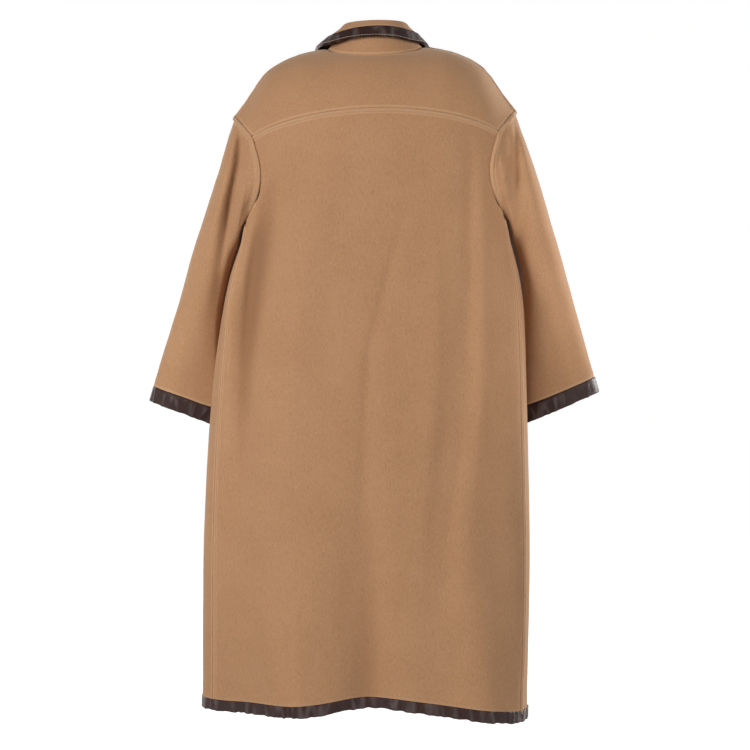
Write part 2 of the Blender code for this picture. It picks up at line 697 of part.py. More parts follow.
def skin(build, grid, closed, inside_out=False, turned=()):
    """Triangles on a grid of points, mirrored about its middle. Returns its rows of vertices.

    The diagonals of the strips listed in turned run the other way.
    """
    rows = [[build.verts.new(point) for point in row] for row in settle(grid)]
    columns = len(rows[0])
    for strip, (low, high) in enumerate(zip(rows, rows[1:])):
        for i in range(columns if closed else columns - 1):
            j = (i + 1) % columns
            if (i < columns // 2) != (strip in turned):
                halves = (low[i], low[j], high[i]), (low[j], high[j], high[i])
            else:
                halves = (low[i], low[j], high[j]), (low[i], high[j], high[i])
            for corners in halves:
                build.faces.new(corners[::-1] if inside_out else corners)
    return rows


def add_wall(coat, name, outer, inner, look, closed=False, turned=()):
    """A closed wall between two grids of points, with rims where they end."""
    build = bmesh.new()
    outer = skin(build, outer, closed, turned=turned)
    inner = skin(build, inner, closed, inside_out=True, turned=turned)
    loops = [(outer[0], inner[0], False), (outer[-1], inner[-1], True)]
    if not closed:
        loops.append(([row[0] for row in outer], [row[0] for row in inner], True))
        loops.append(([row[-1] for row in outer], [row[-1] for row in inner], False))
    for out_edge, in_edge, reverse in loops:
        count = len(out_edge)
        for i in range(count if closed else count - 1):
            j = (i + 1) % count
            a, b, c, d = out_edge[i], out_edge[j], in_edge[i], in_edge[j]
            # The shorter diagonal, so that the rims on both sides of a seam are alike
            if (a.co - d.co).length < (b.co - c.co).length:
                halves = (b, a, d), (a, c, d)
            else:
                halves = (b, a, c), (b, c, d)
            for corners in halves:
                build.faces.new(corners[::-1] if reverse else corners)
    return add_object(coat, name, build, look)


def add_binding(coat, name, edge, inner, edge_normal, inner_normal, last_row, closed=False, corners=()):
    """Leather folded round an edge of cloth: down its inside, under the edge and up its outside.

    Its columns run along the cloth's where that edge is the cloth's first row, and against them
    where it is the last row. Its diagonals lie on those of the cloth.
    """
    beyond = unit(edge - inner)
    for corner in corners:
        beyond[corner] *= math.sqrt(2)
    layers = []
    for air in (LEATHER_AIR + LEATHER, LEATHER_AIR):
        rows = np.array(
            [
                inner - inner_normal * (CLOTH + air),
                edge - edge_normal * (CLOTH + air) + beyond * air,
                edge + edge_normal * air + beyond * air,
                inner + inner_normal * air,
            ]
        )
        if not closed:
            trim(rows, 1, 0, SEAM_GAP)
            trim(rows, 1, -1, SEAM_GAP)
        layers.append(rows)
    return add_wall(coat, name, *layers, TRIM, closed, turned=(2,) if last_row else (0,))


def add_buttons(coat, front, normals):
    """Buttons down the middle of the right front, each set square to the cloth under it."""
    column = front.shape[1] - 1 - LAP_STEPS
    middle, facing = front[:, column], normals[:, column]
    for number, height in enumerate(BUTTON_HEIGHTS, 1):
        place, normal = (
            np.array([np.interp(height, middle[:, 2], line[:, axis]) for axis in range(3)])
            for line in (middle, facing)
        )
        normal = unit(normal)
        build = bmesh.new()
        bmesh.ops.create_cone(
            build, cap_ends=True, segments=20, radius1=BUTTON_RADIUS, radius2=BUTTON_RADIUS * 0.9,
            depth=BUTTON_THICK,
        )
        button = add_object(coat, f"button_{number}", build, HORN)
        button.location = settle(place + normal * (BUTTON_AIR + BUTTON_THICK / 2))
        button.rotation_euler = Vector(normal).to_track_quat("Z", "Y").to_euler()


def main():
    put_away_startup_objects()
    coat = bpy.data.collections.new("long_coat")
    bpy.context.scene.collection.children.link(coat)

    grids = {
        "back_panel": back_grid(),
        "back_yoke": yoke_grid(),
        "front_left": front_grid(1),
        "front_right": front_grid(-1),
        "sleeve_left": sleeve_grid(1),
        "sleeve_right": sleeve_grid(-1),
        "collar_stand": stand_grid(),
        "collar_fall": fall_grid(),
    }
    panels = ("back_panel", "back_yoke", "front_left", "front_right")
    tubes = ("sleeve_left", "sleeve_right")
    normals = {name: normals_of(grid, name in tubes) for name, grid in grids.items()}
    meet_at_seams(grids, normals)
    grids["front_left"] = lap_under(grids["front_left"], normals["front_left"])
    add_buttons(coat, grids["front_right"], normals["front_right"])

    seams = {
        "back_panel": ((0, 1), (1, 0), (1, 1)),
        "back_yoke": ((0, 0), (0, 1), (1, 0), (1, 1)),
        "front_left": ((0, 1), (1, 1)),
        "front_right": ((0, 1), (1, 0)),
        "sleeve_left": ((0, 0),),
        "sleeve_right": ((0, 0),),
        "collar_stand": ((0, 0),),
    }
    for name, grid in grids.items():
        for axis, end in seams.get(name, ()):
            trim(grid, axis, end, SEAM_GAP / 2 if name in panels else 1.5 * SEAM_GAP)
        add_wall(coat, name, grid, grid - normals[name] * CLOTH, WOOL, name in tubes)

    for name, panel in (("back", "back_panel"), ("left", "front_left"), ("right", "front_right")):
        edge, facing = grids[panel], normals[panel]
        add_binding(coat, f"hem_binding_{name}", edge[0], edge[1], facing[0], facing[1], False)
    for name in ("left", "right"):
        edge, facing = grids[f"sleeve_{name}"][:, ::-1], normals[f"sleeve_{name}"][:, ::-1]
        cuff = f"cuff_binding_{name}"
        add_binding(coat, cuff, edge[-1], edge[-2], facing[-1], facing[-2], True, closed=True)
    fall, facing = grids["collar_fall"], normals["collar_fall"]
    edge = collar_path(fall, inner=False)
    corner = len(fall) - 1 - COLLAR_END_ROW
    add_binding(
        coat, "collar_binding", edge, collar_path(fall, inner=True), collar_path(facing, inner=False),
        unit(collar_path(facing, inner=True)), True, corners=(corner, len(edge) - 1 - corner),
    )


main()
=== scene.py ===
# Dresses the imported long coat: wool cloth with its seams and folds, leather bindings, horn
# buttons, sewing, and a plain studio. Lengths are in metres, but the tables of laps and folds
# are in millimetres. The coat's back faces +Y.
import json
import math

import bmesh
import bpy
import numpy as np
from mathutils import Matrix, Vector, noise
from mathutils.bvhtree import BVHTree
from mathutils.kdtree import KDTree

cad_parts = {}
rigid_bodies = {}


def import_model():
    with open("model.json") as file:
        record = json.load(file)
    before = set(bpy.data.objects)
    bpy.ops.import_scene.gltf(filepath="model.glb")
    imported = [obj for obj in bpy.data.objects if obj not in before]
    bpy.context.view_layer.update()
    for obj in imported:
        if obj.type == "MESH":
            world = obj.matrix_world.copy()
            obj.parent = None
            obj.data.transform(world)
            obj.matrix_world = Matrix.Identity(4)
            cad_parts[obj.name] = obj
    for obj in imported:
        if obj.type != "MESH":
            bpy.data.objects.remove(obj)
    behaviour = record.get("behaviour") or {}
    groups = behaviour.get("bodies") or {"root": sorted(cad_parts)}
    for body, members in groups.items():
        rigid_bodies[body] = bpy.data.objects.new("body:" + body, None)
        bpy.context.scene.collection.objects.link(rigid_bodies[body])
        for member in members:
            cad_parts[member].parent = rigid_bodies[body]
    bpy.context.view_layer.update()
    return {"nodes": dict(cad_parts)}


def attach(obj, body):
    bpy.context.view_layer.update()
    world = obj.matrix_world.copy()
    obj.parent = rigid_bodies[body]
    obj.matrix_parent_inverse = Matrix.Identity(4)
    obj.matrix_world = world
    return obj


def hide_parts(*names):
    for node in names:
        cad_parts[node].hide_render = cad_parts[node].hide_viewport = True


for startupThing in list(bpy.data.objects):
    bpy.data.objects.remove(startupThing)

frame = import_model()
wearBody = "root"
print("coat: packed model loaded")


# Shading: Wire wraps a node's socket, Finish builds one material

class Wire:
    def __init__(self, finish, socket):
        self.finish = finish
        self.socket = socket

    def reckon(self, operation, first, second):
        return self.finish.node("ShaderNodeMath", {"operation": operation}, {0: first, 1: second})

    def __add__(self, other):
        return self.reckon("ADD", self, other)

    def __sub__(self, other):
        return self.reckon("SUBTRACT", self, other)

    def __rsub__(self, other):
        return self.reckon("SUBTRACT", other, self)

    def __mul__(self, other):
        return self.reckon("MULTIPLY", self, other)

    __radd__ = __add__
    __rmul__ = __mul__


class Finish:
    def __init__(self, name):
        self.material = bpy.data.materials.new(name)
        self.material.use_nodes = True
        self.tree = self.material.node_tree
        self.tree.nodes.clear()

    def node(self, kind, settings=None, inputs=None, output=0):
        made = self.tree.nodes.new(kind)
        for key, value in (settings or {}).items():
            setattr(made, key, value)
        for key, value in (inputs or {}).items():
            if isinstance(value, Wire):
                self.tree.links.new(value.socket, made.inputs[key])
            else:
                made.inputs[key].default_value = value
        return Wire(self, made.outputs[output])

    def place(self, scale=(1, 1, 1)):
        where = self.node("ShaderNodeTexCoord", output="Object")
        return self.node("ShaderNodeVectorMath", {"operation": "MULTIPLY"}, {0: where, 1: scale})

    def cloud(self, where, size, detail=2.0, roughness=0.5):
        return self.node(
            "ShaderNodeTexNoise", {"noise_dimensions": "3D"},
            {"Vector": where, "Scale": 1 / size, "Detail": detail, "Roughness": roughness},
        )

    def cells(self, where, size, feature):
        return self.node(
            "ShaderNodeTexVoronoi", {"feature": feature}, {"Vector": where, "Scale": 1 / size}
        )

    def span(self, value, low, high, toLow=0.0, toHigh=1.0):
        return self.node(
            "ShaderNodeMapRange", {"interpolation_type": "SMOOTHSTEP"},
            {0: value, 1: low, 2: high, 3: toLow, 4: toHigh},
        )

    def blend(self, share, first, second):
        colours = [c if isinstance(c, Wire) else (*c, 1) for c in (first, second)]
        return self.node(
            "ShaderNodeMix", {"data_type": "RGBA"},
            {0: share, 6: colours[0], 7: colours[1]}, output=2,
        )

    def shaded(self, colour, mask, shade):
        # A shade is a colour and how strongly it shows
        return self.blend(mask * shade[1], colour, shade[0])

    def measure(self, name):
        return self.node("ShaderNodeAttribute", {"attribute_name": name}, output="Fac")

    def bump(self, height, distance, strength=1.0):
        return self.node(
            "ShaderNodeBump", None, {"Height": height, "Distance": distance, "Strength": strength}
        )

    def surface(self, inputs):
        shader = self.node("ShaderNodeBsdfPrincipled", None, inputs)
        end = self.tree.nodes.new("ShaderNodeOutputMaterial")
        self.tree.links.new(shader.socket, end.inputs["Surface"])
        return self.material


# Each finish's colours and the sizes of its grain
wool = {
    "colour": (0.452, 0.240, 0.119),
    "warmColour": (0.432, 0.226, 0.110),
    "pale": ((0.525, 0.298, 0.160), 0.50),
    "deep": ((0.340, 0.168, 0.078), 0.55),
    # A painted highlight on the raised laps beside the seams, the stitch lines and the leather's
    # edges
    "lap": ((0.570, 0.345, 0.195), 0.50),
    # Painted shade laid in the folds' troughs
    "paintedFoldShade": ((0.240, 0.110, 0.048), 0.72),
    # Painted shade in the grooves of the seams and stitch lines and along the leather's edges
    "paintedGrooveShade": ((0.200, 0.090, 0.040), 0.20),
    "patchSize": 0.075,
    "melangeSize": 0.0042,
    "feltSize": 0.0012,
    "napSize": 0.0016,
    "napStretch": (1, 1, 0.22),
    # How far from a seam the painted groove shade reaches
    "grooveShadeReach": 0.0011,
    # Where the painted highlight on a lap rises and falls away, by distance from the seam
    "lapHighlightRise": (0.0008, 0.0022),
    "lapHighlightFall": (0.0062, 0.0042),
    "bumpHeight": 0.00045,
    "sheen": 0.30,
}


def woolFinish():
    finish = Finish("brushed_wool")
    where = finish.place()
    along = finish.place(wool["napStretch"])
    patches = finish.cloud(where, wool["patchSize"], 3)
    melange = finish.cloud(where, wool["melangeSize"], 4, 0.70)
    nap = finish.cloud(along, wool["napSize"], 3, 0.6)
    felt = finish.cloud(where, wool["feltSize"], 2, 0.7)
    seam = finish.measure("seamAway")
    # Painted shade close to the seams, stitch lines and leather edges
    paintedGrooveShade = finish.span(seam, 0.0, wool["grooveShadeReach"], 1, 0)
    colour = finish.blend(finish.span(patches, 0.35, 0.65), wool["warmColour"], wool["colour"])
    # The lap mask paints a highlight on the raised laps
    lap = finish.span(seam, *wool["lapHighlightRise"]) * finish.span(seam, *wool["lapHighlightFall"])
    # Over the tone and nap: a painted highlight on the laps, painted shade in the folds' troughs
    # and in the grooves
    for mask, shade in (
        (finish.span(melange, 0.45, 0.72), "pale"), (finish.span(nap, 0.50, 0.30), "deep"),
        (lap, "lap"), (finish.measure("paintedFoldShade"), "paintedFoldShade"), (paintedGrooveShade, "paintedGrooveShade"),
    ):
        colour = finish.shaded(colour, mask, wool[shade])
    height = nap * 0.55 + felt * 0.45 + melange * 0.35
    return finish.surface({
        "Base Color": colour,
        "Roughness": finish.span(nap, 0.3, 0.7, 0.98, 0.86),
        "Normal": finish.bump(height, wool["bumpHeight"], 0.7),
        "Sheen Weight": wool["sheen"],
        "Sheen Roughness": 0.45,
        "Sheen Tint": (1.0, 0.82, 0.64, 1),
        "Specular IOR Level": 0.25,
    })


leather = {
    "colour": (0.036, 0.0150, 0.0125),
    "worn": ((0.068, 0.034, 0.029), 0.35),
    # A painted highlight on the puckers' ridges
    "paintedRidgeHighlight": ((0.150, 0.110, 0.103), 0.75),
    "deep": ((0.014, 0.0060, 0.0050), 0.45),
    "roughness": 0.28,
    "grainSize": 0.0011,
    "creaseSize": 0.0042,
    "drift": 0.0006,
    "patchSize": 0.022,
    "bumpHeight": 0.00022,
}


def leatherFinish():
    finish = Finish("dark_leather")
    where = finish.place()
    patches = finish.cloud(where, leather["patchSize"], 3)
    drift = finish.node(
        "ShaderNodeTexNoise", None, {"Vector": where, "Scale": 1 / leather["creaseSize"]}, 1
    )
    bent = finish.node(
        "ShaderNodeMix", {"data_type": "VECTOR"}, {0: leather["drift"], 4: where, 5: drift}, 1
    )
    grain = finish.cells(bent, leather["grainSize"], "DISTANCE_TO_EDGE")
    creases = finish.cloud(where, leather["creaseSize"], 4, 0.6)
    pits = finish.span(grain, 0.0, 0.22)
    worn = finish.span(patches, 0.48, 0.72)
    colour = leather["colour"]
    # Random wear, then a painted highlight on the puckers' ridges, then the grain's dark pits
    for mask, shade in ((worn, "worn"), (finish.measure("paintedRidgeHighlight"), "paintedRidgeHighlight"), (1 - pits, "deep")):
        colour = finish.shaded(colour, mask, leather[shade])
    return finish.surface({
        "Base Color": colour,
        "Roughness": creases * 0.20 + leather["roughness"] - worn * 0.06,
        "Normal": finish.bump(pits * 0.6 + creases * 0.9, leather["bumpHeight"], 0.8),
        "Specular IOR Level": 0.15,
    })


horn = {
    "colour": (0.034, 0.018, 0.012),
    "streak": ((0.150, 0.080, 0.045), 0.7),
    "streakSize": 0.006,
    "scratchSize": 0.0009,
}


def hornFinish():
    finish = Finish("polished_horn")
    along = finish.place((1, 1, 0.25))
    streaks = finish.cloud(along, horn["streakSize"], 5, 0.6)
    scratches = finish.cloud(finish.place((0.15, 1, 1)), horn["scratchSize"], 3)
    pale = finish.span(streaks, 0.50, 0.74)
    return finish.surface({
        "Base Color": finish.shaded(horn["colour"], pale, horn["streak"]),
        "Roughness": finish.span(scratches, 0.35, 0.75, 0.20, 0.36),
        "Normal": finish.bump(scratches, 0.00005, 0.4),
        "Coat Weight": 0.3,
        "Coat Roughness": 0.12,
    })


threads = {
    "tan_thread": ((0.50, 0.29, 0.15), (0.34, 0.18, 0.09)),
    "pale_thread": ((0.62, 0.54, 0.47), (0.42, 0.34, 0.28)),
}
threadTwist = {"Scale": 900.0, "Distortion": 1.5, "Detail": 1.0}


def threadFinish(name):
    finish = Finish(name)
    colour, darkColour = threads[name]
    twist = finish.node(
        "ShaderNodeTexWave", {"bands_direction": "DIAGONAL"},
        {"Vector": finish.place(), **threadTwist},
    )
    return finish.surface({
        "Base Color": finish.blend(twist, darkColour, colour),
        "Roughness": finish.span(twist, 0, 1, 0.75, 0.6),
        "Normal": finish.bump(twist, 0.0001, 0.6),
        "Sheen Weight": 0.2,
    })


materials = {
    "wool": woolFinish(),
    "leather": leatherFinish(),
    "button": hornFinish(),
    "tanThread": threadFinish("tan_thread"),
    "paleThread": threadFinish("pale_thread"),
}
print("coat: finishes made")


# Meshes. Turns are in degrees. A face's material index says its side: 0 the outside, 1 the
# inside, 2 a rim.
smoothing = {"weld": 1e-5, "joinTurn": 120, "rimTurn": 48, "bevelTurn": 50}


def meshArrays(mesh):
    points = np.empty(len(mesh.vertices) * 3)
    mesh.vertices.foreach_get("co", points)
    return points.reshape(-1, 3)


def meshFrom(build, name):
    mesh = bpy.data.meshes.new(name)
    build.to_mesh(mesh)
    build.free()
    return mesh


def smoothFaces(mesh):
    mesh.polygons.foreach_set("use_smooth", np.full(len(mesh.polygons), True))


def placed(name, data):
    made = bpy.data.objects.new(name, data)
    bpy.context.scene.collection.objects.link(made)
    return made


def unit(rows):
    return rows / np.maximum(np.linalg.norm(rows, axis=1), 1e-9)[:, None]


def rise(mesh):
    # The normals of the outside's faces averaged at each vertex, and which vertices have one
    total = np.zeros((len(mesh.vertices), 3))
    for face in mesh.polygons:
        if face.material_index == 0:
            push = np.array(face.normal) * face.area
            for corner in face.vertices:
                total[corner] += push
    length = np.linalg.norm(total, axis=1)
    return total / np.maximum(length, 1e-12)[:, None], length > 1e-12


def smoothStep(value, low, high):
    share = np.clip((value - low) / (high - low), 0, 1)
    return share * share * (3 - 2 * share)


def labelSides(build, rimWidth):
    # Creases the rims' edges and parts the faces there into outside, inside and rims
    crease = build.edges.layers.float.new("crease_edge")
    narrow = {
        face.index for face in build.faces
        if min(edge.calc_length() for edge in face.edges) < rimWidth
    }
    for edge in build.edges:
        turned = edge.calc_face_angle(0) > math.radians(smoothing["rimTurn"])
        rims = sum(face.index in narrow for face in edge.link_faces)
        if turned and rims:
            edge[crease] = 1
    groups = []
    seen = set()
    for start in build.faces:
        if start.index in seen:
            continue
        seen.add(start.index)
        group, waiting = [], [start]
        while waiting:
            face = waiting.pop()
            group.append(face)
            for edge in face.edges:
                if edge[crease]:
                    continue
                for other in edge.link_faces:
                    if other.index not in seen:
                        seen.add(other.index)
                        waiting.append(other)
        groups.append(group)
    groups.sort(key=lambda group: -sum(face.calc_area() for face in group))
    centre = sum((vertex.co for vertex in build.verts), Vector()) / len(build.verts)
    flux = [
        sum(
            (face.calc_center_median() - centre).dot(face.normal) * face.calc_area()
            for face in group
        )
        for group in groups[:2]
    ]
    outside = 0 if flux[0] > flux[1] else 1
    for place, group in enumerate(groups):
        side = 2 if place > 1 else (0 if place == outside else 1)
        for face in group:
            face.material_index = side
    return crease


def smoothCopy(node, levels, rimWidth, bevels=None):
    # A finer, rounder copy of a solid's mesh
    build = bmesh.new()
    build.from_mesh(frame["nodes"][node].data)
    bmesh.ops.remove_doubles(build, verts=build.verts, dist=smoothing["weld"])
    bmesh.ops.join_triangles(
        build, faces=build.faces, angle_face_threshold=math.radians(smoothing["joinTurn"]),
        angle_shape_threshold=math.pi, topology_influence=2.0,
    )
    bmesh.ops.recalc_face_normals(build, faces=build.faces)
    build.faces.index_update()
    crease = labelSides(build, rimWidth)
    for side, offset in (bevels or {}).items():
        corners = [
            edge for edge in build.edges
            if not edge[crease]
            and edge.calc_face_angle(0) > math.radians(smoothing["bevelTurn"])
            and all(face.material_index == side for face in edge.link_faces)
        ]
        bmesh.ops.bevel(
            build, geom=corners, offset=offset, offset_type="OFFSET", segments=2, profile=0.5,
            affect="EDGES", clamp_overlap=True,
        )
    mesh = meshFrom(build, node + "_rough")
    rough = placed(node + "_rough", mesh)
    finer = rough.modifiers.new("finer", "SUBSURF")
    finer.levels = finer.render_levels = levels
    finer.quality = 3
    seen = rough.evaluated_get(bpy.context.evaluated_depsgraph_get())
    smooth = bpy.data.meshes.new_from_object(seen)
    bpy.data.objects.remove(rough)
    bpy.data.meshes.remove(mesh)
    smooth.name = node + "_mesh"
    return smooth


def tree(points):
    found = KDTree(len(points))
    for place, point in enumerate(points):
        found.insert(point, place)
    found.balance()
    return found


def noiseAt(points, size, seed=0.0):
    # Smooth noise at many points, from -1 to 1
    scaled = np.asarray(points) / size + seed
    return np.array([noise.noise(Vector(point)) for point in scaled])


def dress(name, mesh, material, node=None):
    mesh.materials.clear()
    mesh.materials.append(material)
    sides = np.zeros(len(mesh.polygons), dtype=np.int32)
    mesh.polygons.foreach_set("material_index", sides)
    smoothFaces(mesh)
    mesh.update()
    piece = placed(name, mesh)
    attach(piece, wearBody)
    if node:
        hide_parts(node)
    return piece


# The cloth pieces, each cut and sewn by itself. flat is the cut's width and length, and area
# is its flat area where it isn't a rectangle.
cloth = {
    "back_panel": {"flat": (0.62, 1.08), "area": 0.574},
    "back_yoke": {"flat": (0.56, 0.19), "area": 0.084},
    "front_left": {"flat": (0.42, 1.16), "area": 0.447},
    "front_right": {"flat": (0.43, 1.16), "area": 0.457},
    "sleeve_left": {"flat": (0.44, 0.55), "area": 0.179},
    "sleeve_right": {"flat": (0.44, 0.55), "area": 0.179},
    "collar_stand": {"flat": (0.46, 0.055), "area": 0.021},
    "collar_fall": {"flat": (0.52, 0.075), "area": 0.034},
}
meshes = {name: smoothCopy(name, 2, 0.0032) for name in cloth}
print("coat: cloth smoothed", {name: len(mesh.polygons) for name, mesh in meshes.items()})

# What each seam does to the cloth beside it: rows of (distance from the seam, rise) in
# millimetres
laps = {
    "over": ((0, 0.3), (0.8, 1.5), (2, 2.1), (4, 1.9), (6, 0.8), (8.5, 0)),
    "under": ((0, -0.6), (1, -0.4), (3, 0)),
    "armholeBody": ((0, 0.2), (1.2, 0.6), (2.5, 0.5), (4.5, 0.3), (7, 0)),
    "armholeSleeve": ((0, 0.2), (1, 1.2), (3.5, 1.6), (6.2, 1.9), (7.8, 0.6), (9.2, 0)),
    "sideBack": ((0, 0.1), (1, 1.3), (3, 1.6), (4.5, 0.9), (5.5, -0.6), (6.6, -0.2), (8.5, 0)),
    "sideFront": ((0, 0.1), (1, 1.2), (2.8, 1.5), (6, 0.5), (9, 0)),
    "neck": ((0, -0.6), (1, -0.4), (3, 0)),
}
seams = {
    "back_panel": {"back_yoke": "over", "front_left": "sideBack", "front_right": "sideBack",
                   "sleeve_left": "armholeBody", "sleeve_right": "armholeBody"},
    "back_yoke": {"back_panel": "under", "front_left": "over", "front_right": "over",
                  "sleeve_left": "armholeBody", "sleeve_right": "armholeBody",
                  "collar_stand": "neck"},
    "front_left": {"back_panel": "sideFront", "back_yoke": "under", "sleeve_left": "armholeBody",
                   "collar_stand": "neck"},
    "front_right": {"back_panel": "sideFront", "back_yoke": "under",
                    "sleeve_right": "armholeBody", "collar_stand": "neck"},
    "sleeve_left": {"back_panel": "armholeSleeve", "back_yoke": "armholeSleeve",
                    "front_left": "armholeSleeve"},
    "sleeve_right": {"back_panel": "armholeSleeve", "back_yoke": "armholeSleeve",
                     "front_right": "armholeSleeve"},
    "collar_stand": {"back_yoke": "neck", "front_left": "neck", "front_right": "neck",
                     "collar_fall": "neck"},
    "collar_fall": {"collar_stand": "neck"},
}
sewing = {
    "reach": 0.0022,  # how far apart two rims may be and still be one seam
    "closeUp": 0.485,  # share of that gap that each rim moves
    "rows": 0.010,  # how far from a seam edges that lead away from it are cut
    "cuts": 3,
    "steep": 0.6,
    "shortest": 0.0015,
    "farAway": 0.05,
    "puckerSize": 0.011,
    "puckerShare": 0.35,
    "stitchSpread": 1.6,
    "stitchGroove": 0.0004,
    "sleeveHeld": (0.001, 0.011),  # the folds start between these distances from a seam
    "bodyHeld": (0.001, 0.020),
}
laid = {name: tree(meshArrays(mesh)) for name, mesh in meshes.items()}


def rimOf(mesh):
    # The vertices that lie on a rim
    rims = np.zeros(len(mesh.vertices), dtype=bool)
    for face in mesh.polygons:
        if face.material_index == 2:
            rims[list(face.vertices)] = True
    return np.flatnonzero(rims)


def denseLine(points, ends, step=0.0006):
    # Points close together along many short edges
    line = []
    for first, last in ends:
        a, b = points[first], points[last]
        count = max(1, int(np.linalg.norm(b - a) / step))
        line += [a + (b - a) * share for share in np.linspace(0, 1, count, endpoint=False)]
    return np.array(line)


def borderEdges(mesh):
    # The edges where the outside meets a rim
    sides = {}
    for face in mesh.polygons:
        for key in face.edge_keys:
            sides.setdefault(key, []).append(face.material_index)
    return [key for key, found in sides.items() if sorted(found) == [0, 2]]


def profile(rows, distance):
    away, up = np.array(rows).T / 1000
    return np.interp(distance, away, up)


# Where each piece meets its neighbours, before anything moves
seamLines = {}
for name, mesh in meshes.items():
    points = meshArrays(mesh)
    moved = points.copy()
    closest = {}
    for other in seams[name]:
        for vertex in rimOf(mesh):
            near, place, gap = laid[other].find(points[vertex])
            if gap < sewing["reach"] and gap < closest.get(vertex, 1.0):
                closest[vertex] = gap
                step = (np.array(near) - points[vertex]) * sewing["closeUp"]
                moved[vertex] = points[vertex] + step
    edges = borderEdges(mesh)
    for other in seams[name]:
        ends = [
            key for key in edges
            if all(laid[other].find(points[v])[2] < sewing["reach"] for v in key)
        ]
        if ends:
            seamLines[name, other] = denseLine(moved, ends)
    mesh.vertices.foreach_set("co", moved.ravel())
    mesh.update()
print("coat: seams found", len(seamLines))


def cutAcross(mesh, lines):
    # More rows beside the seams, so that their relief has room
    found = tree(np.vstack(lines))
    build = bmesh.new()
    build.from_mesh(mesh)
    away = [found.find(vertex.co)[2] for vertex in build.verts]
    across = []
    for edge in build.edges:
        first, last = (away[vertex.index] for vertex in edge.verts)
        length = edge.calc_length()
        steep = abs(first - last) > sewing["steep"] * length
        if steep and min(first, last) < sewing["rows"] and length > sewing["shortest"]:
            if 0 in [face.material_index for face in edge.link_faces]:
                across.append(edge)
    bmesh.ops.subdivide_edges(build, edges=across, cuts=sewing["cuts"], use_grid_fill=True)
    build.to_mesh(mesh)
    build.free()


for name, mesh in meshes.items():
    cutAcross(mesh, [line for (piece, other), line in seamLines.items() if piece == name])
print("coat: rows added beside the seams", {n: len(m.polygons) for n, m in meshes.items()})


# Leather bindings: the strip's cut, how deep and wide its puckers are, and the way across the
# band where that isn't straight up
bindings = {
    "hem_binding_back": {"flat": (0.56, 0.046), "pucker": 0.0026, "size": 0.0190},
    "hem_binding_left": {"flat": (0.41, 0.046), "pucker": 0.0018, "size": 0.0180},
    "hem_binding_right": {"flat": (0.44, 0.046), "pucker": 0.0018, "size": 0.0180},
    "cuff_binding_left": {"flat": (0.36, 0.066), "pucker": 0.0009, "size": 0.016,
                          "across": (0.23, -0.18, -0.95)},
    "cuff_binding_right": {"flat": (0.36, 0.066), "pucker": 0.0009, "size": 0.016,
                           "across": (-0.23, -0.18, -0.95)},
    "collar_binding": {"flat": (0.78, 0.042), "pucker": 0.0004, "size": 0.020},
}
puckers = {
    "stretch": 0.78,  # how much of a pucker's length across the band is drawn out
    "fineSize": 0.45,
    "sharpness": 2.6,
    "coarseShare": 0.8,
    "fineShare": 0.40,
    "edgeShare": 0.15,
    "edgeReach": (0.0005, 0.006),
    "edgeDrop": 0.00072,
    "dropReach": 0.0035,
    # Where the painted highlight on the puckers' ridges shows, by ridge height and by distance
    # from the band's edges
    "ridgeHighlightRise": (0.35, 1.0),
    "ridgeHighlightReach": (0.002, 0.006),
}
# Where the back hem's leather is joined from two strips
hemJoin = {"x": -0.0515, "width": 0.0012, "rise": 0.0005, "depth": 0.0008, "stepAt": 1.6}
leatherMeshes = {
    name: smoothCopy(name, 3, 0.0014, {0: 0.0020, 1: 0.0008}) for name in bindings
}
print("coat: leather smoothed", {n: len(m.polygons) for n, m in leatherMeshes.items()})


